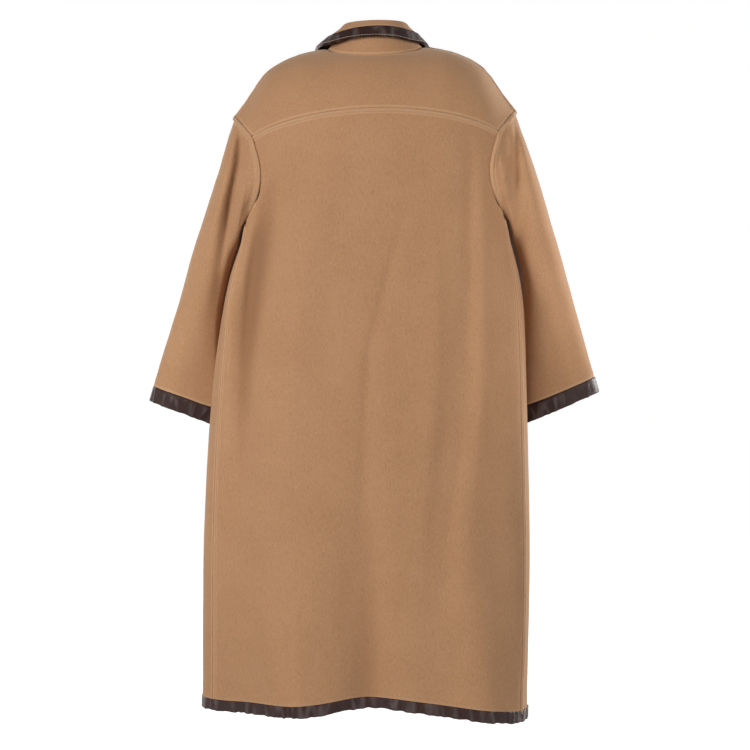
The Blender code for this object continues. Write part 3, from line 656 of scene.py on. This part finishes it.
# Folds as rows of (x, z, rise, half width towards +x, half width towards -x) in millimetres; a
# trough's rise is below 0
bodyFolds = {
    "back": {
        "armholeValley": (
            (165, -183, 0, 10, 30), (184, -239, -5, 12, 36), (202, -300, -9, 13, 40),
            (213, -345, -12, 13, 40), (221, -397, -14, 13, 38), (227, -450, -14.5, 13, 34),
            (233, -538, -12, 13, 30), (236, -626, -9, 13, 26), (240, -731, -5, 13, 22),
            (246, -872, -2, 14, 20), (250, -1012, 0, 14, 20),
        ),
        "sideCrest": (
            (239, -319, 0, 14, 9), (250, -380, 5, 15, 10), (255, -448, 9, 16, 11),
            (259, -537, 9, 16, 11), (266, -626, 7, 16, 12), (273, -733, 5, 16, 13),
            (280, -912, 2, 16, 14), (284, -1090, 0, 16, 14),
        ),
        "leftCrest": (
            (99, -173, 0, 20, 26), (99, -277, 1.5, 22, 30), (117, -399, 3, 24, 34),
            (137, -521, 5, 20, 40), (144, -677, 6, 20, 42), (141, -869, 7, 22, 44),
            (132, -1043, 7, 24, 42), (127, -1173, 5, 26, 42),
        ),
        "middleCrease": (
            (-57, -286, 0, 6, 10), (-47, -316, -1.2, 6, 10), (-24, -399, -2.4, 6, 12),
            (-7, -469, -2.8, 7, 13), (10, -538, -3.2, 7, 14), (16, -625, -3.6, 8, 16),
            (17, -730, -3.8, 10, 20), (17, -817, -4.5, 16, 25), (14, -904, -6, 26, 28),
            (14, -1008, -7.5, 32, 28), (16, -1173, -8.2, 34, 28),
        ),
        "lightZone": (
            (-104, -277, 0, 20, 16), (-106, -382, 1.8, 22, 16), (-106, -503, 2.6, 24, 16),
            (-99, -677, 3, 24, 15), (-87, -834, 2.6, 24, 16), (-78, -973, 1.5, 24, 18),
            (-75, -1095, 0, 24, 20),
        ),
        "rightValley": (
            (-170, -142, 0, 13, 12), (-170, -208, -2.2, 13, 12), (-170, -451, -2.4, 13, 12),
            (-167, -625, -2.8, 13, 13), (-157, -695, -3, 13, 13), (-141, -782, -3.2, 13, 15),
            (-129, -869, -2.8, 15, 16), (-124, -956, -1.6, 16, 18), (-124, -1043, 0, 18, 20),
        ),
        "rightCrest": (
            (-193, -451, 0, 10, 16), (-190, -625, 1.2, 10, 26), (-179, -747, 1.6, 11, 30),
            (-165, -869, 1.6, 12, 34), (-162, -973, 1.2, 14, 36), (-165, -1112, 1, 16, 24),
            (-169, -1173, 0.5, 16, 24),
        ),
    },
    "front": {
        "leftBustCrease": (
            (196, -235, 0, 8, 10), (172, -300, -3, 10, 13), (148, -370, -2.6, 12, 16),
            (122, -450, 0, 14, 20),
        ),
        "leftValley": (
            (118, -400, 0, 18, 30), (125, -520, -3, 18, 30), (119, -700, -4.8, 18, 32),
            (108, -880, -5.8, 22, 32), (100, -1173, -7, 28, 34),
        ),
        "leftCrest": (
            (198, -460, 0, 18, 22), (206, -680, 2.6, 20, 26), (209, -930, 3.8, 22, 28),
            (205, -1173, 4.8, 26, 30),
        ),
        "rightBustCrease": (
            (-194, -240, 0, 10, 8), (-174, -310, -2.6, 13, 10), (-155, -385, -2, 15, 12),
            (-136, -450, 0, 20, 14),
        ),
        "rightValley": (
            (-112, -340, 0, 30, 18), (-124, -470, -2.6, 30, 16), (-129, -660, -4.2, 28, 18),
            (-114, -870, -5, 30, 22), (-99, -1173, -6.2, 32, 26),
        ),
        "rightCrest": (
            (-190, -500, 0, 20, 18), (-199, -720, 2.4, 24, 20), (-196, -960, 3.6, 26, 22),
            (-186, -1173, 4.6, 28, 26),
        ),
    },
}
# The body seen as an oval, and how far out a point faces before its side's folds show
bodyOval = {"y": -0.008, "halfWidth": 0.262, "halfDepth": 0.138, "facing": (0.15, 0.55)}
unevenness = {
    "rise": 0.0010, "size": (0.085, 0.085, 0.30),
    "fineRise": 0.00035, "fineSize": 0.022, "fineStretch": (1, 1, 2.2),
}


def readOff(at, length, rows):
    # Rows of three numbers that are known at some lengths, read off at others
    return np.stack([np.interp(at, length, rows[:, k]) for k in range(3)], axis=-1)


def pathRise(flat, path):
    # A fold's rise at many (x, z) points, from the nearest place on its path
    path = np.array(path) / 1000
    best = np.full(len(flat), 1e9)
    rises = np.zeros(len(flat))
    for low, high in zip(path, path[1:]):
        step = high[:2] - low[:2]
        share = np.clip((flat - low[:2]) @ step / (step @ step), 0, 1)
        offset = flat - low[:2] - share[:, None] * step
        away = np.linalg.norm(offset, axis=1)
        here = low + (high - low) * share[:, None]
        width = np.where(offset[:, 0] > 0, here[:, 3], here[:, 4])
        nearer = away < best
        best = np.where(nearer, away, best)
        rises = np.where(nearer, here[:, 2] * np.exp(-(away / width) ** 2), rises)
    return rises


def bodyField(points):
    # How the body's cloth and its hem are pushed out, the same for all pieces that meet
    out = unit(np.stack([
        points[:, 0] / bodyOval["halfWidth"] ** 2,
        (points[:, 1] - bodyOval["y"]) / bodyOval["halfDepth"] ** 2,
        np.zeros(len(points)),
    ], axis=1))
    flat = points[:, [0, 2]]
    push = np.zeros((len(points), 3))
    for side, folds in bodyFolds.items():
        facing = 1 if side == "back" else -1
        share = smoothStep(facing * out[:, 1], *bodyOval["facing"])
        way = unit(out + np.array((0, facing, 0)))
        for path in folds.values():
            push += way * (pathRise(flat, path) * share)[:, None]
    rough = unevenness["rise"] * noiseAt(points / np.array(unevenness["size"]), 1.0)
    drawn = points / np.array(unevenness["fineStretch"])
    rough += unevenness["fineRise"] * noiseAt(drawn, unevenness["fineSize"], 7)
    return push + out * rough[:, None]


sleeveFolds = {
    "left": {
        "back": {
            "valley": (
                (240, -130, 0, 6, 6), (242, -166, -10, 8, 6), (245, -211, -12.5, 9, 6),
                (252, -255, -12.5, 10, 6), (264, -308, -11, 11, 7), (276, -375, -7, 12, 8),
                (287, -445, -3, 13, 10), (299, -529, 0, 14, 12),
            ),
            "ridge": (
                (226, -145, 0, 4, 5), (226, -195, 3.2, 5, 5), (228, -223, 3.6, 5, 5),
                (233, -255, 3.8, 5, 5), (241, -300, 3.6, 6, 6), (255, -350, 2.2, 7, 7),
                (272, -410, 0, 8, 8),
            ),
            "innerCrest": (
                (246, -372, 0, 16, 8), (252, -448, 7, 18, 9), (270, -535, 9.5, 20, 10),
                (288, -640, 9, 20, 11),
            ),
        },
        "front": {
            "pitTrough": (
                (228, -215, 0, 10, 8), (238, -285, -4.5, 11, 8), (256, -350, -4, 12, 9),
                (276, -430, 0, 14, 11),
            ),
            "elbowCrease": (
                (350, -395, 0, 10, 10), (325, -412, -2.4, 11, 11), (295, -420, -1.8, 11, 11),
                (272, -410, 0, 12, 12),
            ),
        },
        "outer": {
            "slimTop": (
                (272, -150, 0, 50, 50), (290, -215, -4, 50, 50), (308, -280, -3.5, 50, 50),
                (335, -370, 0, 50, 50),
            ),
            "fullForearm": (
                (365, -450, 0, 50, 50), (388, -530, 3.5, 50, 50), (415, -650, 3.5, 50, 50),
            ),
        },
    },
    "right": {
        "back": {
            "valley": (
                (-247, -117, 0, 5, 6), (-251, -140, -5, 5, 6), (-255, -191, -7.5, 6, 7),
                (-251, -228, -6.5, 6, 7), (-242, -269, -4, 6, 8), (-237, -299, 0, 6, 8),
            ),
            "ridge": (
                (-242, -120, 0, 4, 4), (-237, -142, 2.2, 4, 4), (-239, -184, 2.8, 5, 4),
                (-233, -216, 2.4, 5, 4), (-226, -248, 0, 4, 4),
            ),
            "innerTrough": (
                (-228, -158, 0, 4, 4), (-221, -180, -2.4, 4, 4), (-216, -209, -3, 4, 4),
                (-221, -241, -1.6, 4, 4), (-226, -265, 0, 4, 4),
            ),
            "outerDent": (
                (-286, -329, 0, 10, 14), (-300, -432, -2.2, 10, 18), (-320, -520, -1.6, 12, 18),
                (-338, -576, 0, 12, 18),
            ),
        },
        "front": {
            "pitTrough": (
                (-226, -205, 0, 8, 10), (-238, -270, -4.8, 8, 11), (-254, -335, -3.6, 9, 12),
                (-270, -400, 0, 11, 14),
            ),
            "elbowCrease": (
                (-345, -380, 0, 10, 10), (-318, -402, -2, 11, 11), (-288, -405, -2.2, 11, 11),
                (-270, -392, 0, 12, 12),
            ),
        },
    },
}
# Points down the middle of the left sleeve; the right one mirrors them
sleeveAxis = ((0.242, 0.003, -0.205), (0.251, -0.001, -0.234), (0.2625, -0.008, -0.280),
              (0.279, -0.026, -0.3465), (0.302, -0.052, -0.4385), (0.325, -0.076, -0.545),
              (0.345, -0.098, -0.648))
sleeveUneven = {"rise": 0.0012, "size": (0.06, 0.06, 0.10), "facing": (0.1, 0.5)}


def sleeveField(points, side):
    mirror = 1 if side == "left" else -1
    axis = np.array(sleeveAxis) * np.array((mirror, 1, 1))
    out = points - readOff(-points[:, 2], -axis[:, 2], axis)
    out[:, 2] = 0
    out = unit(out)
    flat = points[:, [0, 2]]
    push = np.zeros((len(points), 3))
    faces = {"back": out[:, 1], "front": -out[:, 1], "outer": mirror * out[:, 0]}
    for face, folds in sleeveFolds[side].items():
        share = smoothStep(faces[face], *sleeveUneven["facing"])
        for path in folds.values():
            push += out * (pathRise(flat, path) * share)[:, None]
    rough = sleeveUneven["rise"] * noiseAt(points / np.array(sleeveUneven["size"]), 1.0, 3)
    rough += unevenness["fineRise"] * noiseAt(points, unevenness["fineSize"], 11)
    return push + out * rough[:, None]


def distanceTo(line, points):
    near = tree(line)
    return np.array([near.find(point)[2] for point in points])


def markPoints(mesh, name, values):
    # A value at each vertex, for the finishes to read
    mark = mesh.attributes.new(name, "FLOAT", "POINT")
    mark.data.foreach_set("value", values.astype(np.float32))


leatherEdges = {
    name: denseLine(meshArrays(mesh), borderEdges(mesh), 0.0012)
    for name, mesh in leatherMeshes.items()
}
bound = {
    "back_panel": "hem_binding_back",
    "front_left": "hem_binding_left",
    "front_right": "hem_binding_right",
    "sleeve_left": "cuff_binding_left",
    "sleeve_right": "cuff_binding_right",
    "collar_fall": "collar_binding",
}
# Beside the leather: rows of (distance from its edge, rise) in millimetres
pinch = ((0, -0.6), (1.5, 0.2), (4, 0.9), (8, 0.7), (14, 0.4), (25, 0.4), (29, 0))
# How far from the seam each lap is stitched down
stitchLine = {"sideBack": 0.0056, "armholeSleeve": 0.0079, "over": 0.0068}
# Painted shade: the cloth is painted darker in the folds' troughs, between these depths
foldShadeDepths = (0.0025, 0.0125)  # fold depths between which the cloth turns to its darker shade

for name, mesh in meshes.items():
    points = meshArrays(mesh)
    outward, onOutside = rise(mesh)
    away = np.full(len(points), sewing["farAway"])
    relief = np.zeros(len(points))
    held = np.ones(len(points))
    pucker = 1 + sewing["puckerShare"] * noiseAt(points, sewing["puckerSize"], 5)
    for (piece, other), line in seamLines.items():
        if piece != name:
            continue
        distance = distanceTo(line, points)
        lap = seams[name][other]
        relief += profile(laps[lap], distance) * pucker
        away = np.minimum(away, distance)
        # A stitch line gets the same painted groove shade and painted lap highlight as a seam
        if lap in stitchLine:
            beside = np.abs(distance - stitchLine[lap]) * sewing["stitchSpread"]
            away = np.minimum(away, beside + sewing["stitchGroove"])
        if "sleeve" in name:
            held = np.minimum(held, smoothStep(distance, *sewing["sleeveHeld"]))
        elif "sleeve" in other or "collar" in other:
            held = np.minimum(held, smoothStep(distance, *sewing["bodyHeld"]))
    if name in bound:
        distance = distanceTo(leatherEdges[bound[name]], points)
        relief += profile(pinch, distance) * pucker
        # The leather's edge gets the painted groove shade and painted lap highlight too
        away = np.minimum(away, distance)
    if name.startswith("sleeve"):
        field = sleeveField(points, name.split("_")[1])
    elif name.startswith("collar"):
        field = np.zeros((len(points), 3))
    else:
        field = bodyField(points)
    moved = points + field * held[:, None] + outward * (relief * onOutside)[:, None]
    mesh.vertices.foreach_set("co", moved.ravel())
    # seamAway places the painted groove shade and the painted lap highlight
    markPoints(mesh, "seamAway", away)
    # Painted shade: the deeper a fold's trough, the darker the cloth is painted there
    depth = -(field * outward).sum(axis=1) * onOutside
    markPoints(mesh, "paintedFoldShade", smoothStep(depth, *foldShadeDepths))
    mesh.update()
print("coat: seams raised and cloth folded")

for name, mesh in leatherMeshes.items():
    facts = bindings[name]
    points = meshArrays(mesh)
    outward, onOutside = rise(mesh)
    skin = tree(points[onOutside])
    way = outward[onOutside][[skin.find(point)[1] for point in points]]
    distance = distanceTo(leatherEdges[name], points)
    across = np.array(Vector(facts.get("across", (0, 0, 1))).normalized())
    drawn = points - np.outer(points @ across, across) * puckers["stretch"]
    coarse = noiseAt(drawn, facts["size"], 2)
    fine = noiseAt(drawn, facts["size"] * puckers["fineSize"], 9)
    ridges = (1 - puckers["sharpness"] * np.abs(coarse)) * puckers["coarseShare"]
    ridges += fine * puckers["fineShare"]
    edge = puckers["edgeShare"]
    free = edge + (1 - edge) * smoothStep(distance, *puckers["edgeReach"])
    push = way * (facts["pucker"] * ridges * free * onOutside)[:, None]
    drop = 1 - smoothStep(distance, 0, puckers["dropReach"])
    push -= way * (puckers["edgeDrop"] * drop)[:, None]
    # Painted highlight on the puckers' ridges, kept off the band's edges
    paintedRidgeHighlight = smoothStep(ridges, *puckers["ridgeHighlightRise"])
    paintedRidgeHighlight *= smoothStep(distance, *puckers["ridgeHighlightReach"])
    markPoints(mesh, "paintedRidgeHighlight", paintedRidgeHighlight * onOutside)
    if name == "hem_binding_back":
        beside = np.abs(points[:, 0] - hemJoin["x"]) / hemJoin["width"]
        step = hemJoin["rise"] * np.exp(-(beside - hemJoin["stepAt"]) ** 2)
        step -= hemJoin["depth"] * np.exp(-beside**2)
        push += way * (step * onOutside)[:, None]
    if name.startswith("hem"):
        push += bodyField(points)
    elif name.startswith("cuff"):
        push += sleeveField(points, name.split("_")[2])
    mesh.vertices.foreach_set("co", (points + push).ravel())
    mesh.update()
print("coat: leather puckered")

for name, facts in cloth.items():
    piece = dress(name + "_cloth", meshes[name], materials["wool"], name)
for name, facts in bindings.items():
    piece = dress(name + "_leather", leatherMeshes[name], materials["leather"], name)
print("coat: cloth and leather dressed")


# Buttons, turned from horn, with four holes and crossed thread. The profile's rows are shares
# of the radius and of the thickness, from the middle of the top round to that of the back.
button = {
    "profile": ((0.0, 0.62), (0.42, 0.62), (0.60, 0.70), (0.74, 0.95), (0.86, 1.0), (0.95, 0.84),
                (1.0, 0.50), (0.97, 0.16), (0.88, 0.02), (0.60, 0.0), (0.0, 0.0)),
    "around": 72,
    "rings": 46,
    "ringSpan": (0.012, 0.988),
    "holeSpread": 0.0023,
    "holeRadius": 0.00105,
    "holeDepth": 0.0019,
    "holeEdge": (0.75, 1.25),
    "threadRadius": 0.00042,
    "threadSink": 0.0016,
    "threadArch": 0.00035,
    "crossLift": 0.0006,
}


def buttonPlace(node):
    # The matrix of a button's place, looking out of the coat, its radius and its thickness
    points = meshArrays(frame["nodes"][node].data)
    centre = points.mean(axis=0)
    values, ways = np.linalg.eigh(np.cov((points - centre).T))
    normal = ways[:, 0] if ways[1, 0] < 0 else -ways[:, 0]
    deep = (points - centre) @ normal
    flat = points - centre - np.outer(deep, normal)
    radius = np.linalg.norm(flat, axis=1).max()
    up = np.array((0, 0, 1)) - normal * normal[2]
    up /= np.linalg.norm(up)
    side = np.cross(up, normal)
    base = centre + normal * deep.min()
    return Matrix((
        (*side, 0), (*up, 0), (*normal, 0), (*base, 1)
    )).transposed(), radius, deep.max() - deep.min()


def ringBuild(rows):
    # Rings of points, each joined to the next
    build = bmesh.new()
    rings = [[build.verts.new(point) for point in row] for row in rows]
    for low, high in zip(rings, rings[1:]):
        for i in range(len(low)):
            j = (i + 1) % len(low)
            build.faces.new((low[i], low[j], high[j], high[i]))
    return build, rings


def ringMesh(name, rows):
    # A mesh from rings of points, the first and last closed to a point
    build, rings = ringBuild(rows)
    for ring, flip in ((rings[0], True), (rings[-1], False)):
        middle = build.verts.new(sum((v.co for v in ring), Vector()) / len(ring))
        for i in range(len(ring)):
            corners = (ring[i], ring[(i + 1) % len(ring)], middle)
            build.faces.new(corners[::-1] if flip else corners)
    bmesh.ops.recalc_face_normals(build, faces=build.faces)
    return meshFrom(build, name)


def tubeRows(path, radius, around=8, taper=0.0):
    # Rings of points along a path, for thread
    path = [Vector(point) for point in path]
    rows = []
    side = None
    for place, point in enumerate(path):
        ahead = (path[min(place + 1, len(path) - 1)] - path[max(place - 1, 0)]).normalized()
        if side is None:
            side = ahead.orthogonal().normalized()
        side = (side - ahead * side.dot(ahead)).normalized()
        other = ahead.cross(side)
        share = place / (len(path) - 1)
        wide = radius * (1 - taper * (2 * share - 1) ** 4)
        rows.append([
            point + (side * math.cos(turn) + other * math.sin(turn)) * wide
            for turn in (2 * math.pi * k / around for k in range(around))
        ])
    return rows


def joined(name, parts):
    # One mesh from many
    build = bmesh.new()
    for part in parts:
        build.from_mesh(part)
        bpy.data.meshes.remove(part)
    return meshFrom(build, name)


def lengthAlong(points):
    steps = np.linalg.norm(np.diff(points, axis=0), axis=1)
    return np.concatenate(([0], np.cumsum(steps)))


def makeButton(node):
    place, radius, thick = buttonPlace(node)
    rows = []
    shape = np.array(button["profile"])
    length = lengthAlong(shape * np.array((radius, thick)))
    spread = button["holeSpread"]
    holes = [(spread * a, spread * b) for a in (-1, 1) for b in (-1, 1)]
    for share in np.linspace(*button["ringSpan"], button["rings"]):
        wide = np.interp(share * length[-1], length, shape[:, 0]) * radius
        high = np.interp(share * length[-1], length, shape[:, 1]) * thick
        row = []
        for k in range(button["around"]):
            turn = 2 * math.pi * k / button["around"]
            x, y = wide * math.cos(turn), wide * math.sin(turn)
            drop = 0
            if share < 0.5:
                near = min(math.hypot(x - a, y - b) for a, b in holes)
                inner, outer = (button["holeRadius"] * edge for edge in button["holeEdge"])
                drop = button["holeDepth"] * (1 - float(smoothStep(near, inner, outer)))
            row.append(place @ Vector((x, y, high - drop)))
        rows.append(row)
    dress(node + "_horn", ringMesh(node + "_mesh", rows), materials["button"], node)
    top = thick * button["profile"][0][1]
    strands = []
    for a, b in (((-1, -1), (1, 1)), ((-1, 1), (1, -1))):
        for shift in (-0.9, 0.9):
            side = Vector((-(b[1] - a[1]), b[0] - a[0], 0)).normalized()
            side *= button["threadRadius"] * shift
            lift = 0.0 if a == (-1, -1) else button["crossLift"]
            path = []
            for share in np.linspace(0, 1, 13):
                x = spread * (a[0] + (b[0] - a[0]) * share)
                y = spread * (a[1] + (b[1] - a[1]) * share)
                arch = math.sin(math.pi * share)
                sink = button["threadSink"] * (1 - min(1.0, arch * 3.0))
                z = top - sink + (button["threadArch"] + lift) * arch
                path.append(place @ (Vector((x, y, z)) + side))
            strands.append(ringMesh("strand", tubeRows(path, button["threadRadius"])))
    dress(node + "_thread", joined(node + "_thread_mesh", strands), materials["tanThread"])


def faceTree(mesh):
    # A piece's faces, to lay thread on
    faces = [tuple(face.vertices) for face in mesh.polygons]
    return BVHTree.FromPolygons([vertex.co.copy() for vertex in mesh.vertices], faces)


# Buttonholes, worked in thread round a slit that reaches from under the button towards the side
buttonhole = {
    "near": 0.004, "far": -0.021, "half": 0.0013, "radius": 0.00075, "lift": 0.0002,
    "turns": 10, "step": 0.0008,
}


def makeButtonhole(node, found):
    place = buttonPlace(node)[0]
    turns = buttonhole["turns"]
    around = []
    for middle, start in ((buttonhole["near"], -90), (buttonhole["far"], 90)):
        for step in range(turns + 1):
            turn = math.radians(start + 180 * step / turns)
            half = buttonhole["half"]
            around.append((middle + half * math.cos(turn), half * math.sin(turn)))
    path = []
    for first, last in zip(around, around[1:] + around[:1]):
        count = max(1, int(math.dist(first, last) / buttonhole["step"]))
        for k in range(count):
            x = first[0] + (last[0] - first[0]) * k / count
            y = first[1] + (last[1] - first[1]) * k / count
            spot = place @ Vector((x, y, 0.0))
            laidAt, normal, face, gap = found.find_nearest(spot)
            path.append(laidAt + normal * buttonhole["lift"])
    mesh = ringMesh(node + "_hole_mesh", tubeRows(path + path[:1], buttonhole["radius"]))
    dress(node + "_hole_thread", mesh, materials["tanThread"])


rightFront = faceTree(meshes["front_right"])
for node in ("button_1", "button_2", "button_3", "button_4"):
    makeButton(node)
    makeButtonhole(node, rightFront)
print("coat: buttons made")


# Pale stitches along the collar's leather, at its lower edge. Turns are in degrees round the
# neck from the middle of the back.
collarStitch = {
    "centre": (0.0025, -0.014), "reach": 142, "turnStep": 2.0, "turnWidth": 1.6, "evened": 14,
    "outward": 0.006, "above": -0.0008, "length": 0.0040, "gap": 0.0011, "radius": 0.00036,
    "rise": 0.00030, "sunk": 0.00015, "taper": 0.3,
}


def alongCollar():
    # Points on the leather's outside and their normals, from the coat's right round to its left
    found = faceTree(leatherMeshes["collar_binding"])
    points = meshArrays(meshes["collar_fall"])
    middle = np.array(collarStitch["centre"])
    flat = points[:, :2] - middle
    angle = np.degrees(np.arctan2(flat[:, 0], flat[:, 1]))
    radius = np.linalg.norm(flat, axis=1)
    edge = []
    reach = collarStitch["reach"]
    for turn in np.arange(-reach, reach + 1, collarStitch["turnStep"]):
        near = np.flatnonzero(np.abs(angle - turn) < collarStitch["turnWidth"])
        edge.append(points[near[np.argmax(radius[near])]])
    edge = np.array(edge)
    for _ in range(collarStitch["evened"]):
        edge[1:-1] = (edge[:-2] + 2 * edge[1:-1] + edge[2:]) / 4
    path = []
    for spot in edge:
        out = Vector((spot[0] - middle[0], spot[1] - middle[1], 0)).normalized()
        probe = Vector(spot) + out * collarStitch["outward"]
        probe.z += collarStitch["above"]
        laidAt, normal, face, gap = found.find_nearest(probe)
        path.append((laidAt, normal))
    return path


def makeCollarStitches():
    path = alongCollar()
    spots, ways = (np.array(rows) for rows in zip(*path))
    length = lengthAlong(spots)
    pitch = collarStitch["length"] + collarStitch["gap"]
    parts = []
    for number in range(int(length[-1] / pitch)):
        start = number * pitch
        line = []
        for share in np.linspace(0, 1, 7):
            at = start + share * collarStitch["length"]
            spot, way = readOff(at, length, spots), readOff(at, length, ways)
            lift = collarStitch["rise"] * math.sin(math.pi * share) - collarStitch["sunk"]
            line.append(spot + way / np.linalg.norm(way) * lift)
        rows = tubeRows(line, collarStitch["radius"], 6, collarStitch["taper"])
        parts.append(ringMesh("stitch", rows))
    dress("collar_stitches", joined("collar_stitches_mesh", parts), materials["paleThread"])


makeCollarStitches()
print("coat: collar stitched")


# Studio: a pale bowl of floor and backdrop, soft lights, the photo's camera
studio = {
    "floor": -1.36,
    "colour": (0.30, 0.30, 0.30),
    "fleck": ((0.94, 0.94, 0.935), 0.02),
    "fleckSize": 0.004,
    "glow": 0.90,
    "around": 96,
    "profile": ((7.2, 5.6), (7.1, 2.8), (6.9, 1.4), (6.4, 0.55), (5.6, 0.12), (4.6, 0.0),
                (0.02, 0.0)),
}


def makeStudio():
    finish = Finish("studio_paper")
    flecks = finish.cloud(finish.place(), studio["fleckSize"], 2)
    paper = finish.surface({
        "Base Color": finish.shaded(studio["colour"], flecks, studio["fleck"]),
        "Roughness": 0.9,
        "Emission Color": (1, 1, 1, 1),
        "Emission Strength": studio["glow"],
    })
    around = studio["around"]
    turns = [2 * math.pi * k / around for k in range(around)]
    rows = [
        [Vector((reach * math.cos(turn), reach * math.sin(turn), studio["floor"] + height))
         for turn in turns]
        for reach, height in studio["profile"]
    ]
    build, rings = ringBuild(rows)
    build.faces.new(rings[-1])
    mesh = meshFrom(build, "studio_bowl")
    mesh.materials.append(paper)
    smoothFaces(mesh)
    bowl = placed("studio_bowl", mesh)
    bowl.visible_diffuse = False


makeStudio()

# A lamp with a cone, its angle in degrees and its width's share, is a narrow spot
lights = {
    "key": {"at": (2.9, 2.8, 0.1), "size": (1.2, 2.0), "power": 130},
    "fill": {"at": (-2.7, 2.6, -0.1), "size": (1.8, 2.4), "power": 60},
    "sleeveSpot": {"at": (-2.5, 1.7, -0.35), "aim": (-0.345, 0.0, -0.40), "cone": (19, 0.42),
                   "power": 140},
    "forearmSpot": {"at": (1.6, 3.0, 0.0), "aim": (0.41, -0.05, -0.52), "cone": (22, 0.35),
                    "power": 80},
    "top": {"at": (0.0, 0.6, 3.0), "size": (2.4, 1.4), "power": 3},
    "frontKey": {"at": (-3.2, -2.4, 0.2), "size": (1.2, 2.0), "power": 130},
    "frontFill": {"at": (1.9, -3.3, 0.0), "size": (1.8, 2.4), "power": 50},
}
spot = {"blend": 0.9, "softness": 0.15}
coatMiddle = (0, 0, -0.60)
for name, facts in lights.items():
    lamp = bpy.data.lights.new(name, "SPOT" if "cone" in facts else "AREA")
    lit = placed(name, lamp)
    if "cone" in facts:
        angle, narrow = facts["cone"]
        lamp.spot_size = math.radians(angle)
        lamp.spot_blend = spot["blend"]
        lamp.shadow_soft_size = spot["softness"]
        lit.scale = (narrow, 1, 1)
    else:
        lamp.shape = "RECTANGLE"
        lamp.size, lamp.size_y = facts["size"]
    lamp.energy = facts["power"]
    lit.location = facts["at"]
    aim = Vector(facts.get("aim", coatMiddle))
    lit.rotation_mode = "QUATERNION"
    lit.rotation_quaternion = (aim - lit.location).to_track_quat("-Z", "Y")

world = bpy.data.worlds.new("studio_air")
world.use_nodes = True
world.node_tree.nodes["Background"].inputs["Color"].default_value = (1, 1, 1, 1)
world.node_tree.nodes["Background"].inputs["Strength"].default_value = 0.12
bpy.context.scene.world = world
bpy.context.scene.view_settings.view_transform = "Standard"
bpy.context.scene.view_settings.look = "None"

view = {"lens": 85.8, "sensor": 36, "height": -0.582, "y": 3.23}
camera = bpy.data.cameras.new("camera")
camera.lens = view["lens"]
camera.sensor_width = view["sensor"]
eye = placed("camera", camera)
eye.location = (0, view["y"], view["height"])
eye.rotation_euler = (math.radians(90), 0, math.radians(180))
bpy.context.scene.camera = eye
print("coat: studio ready")
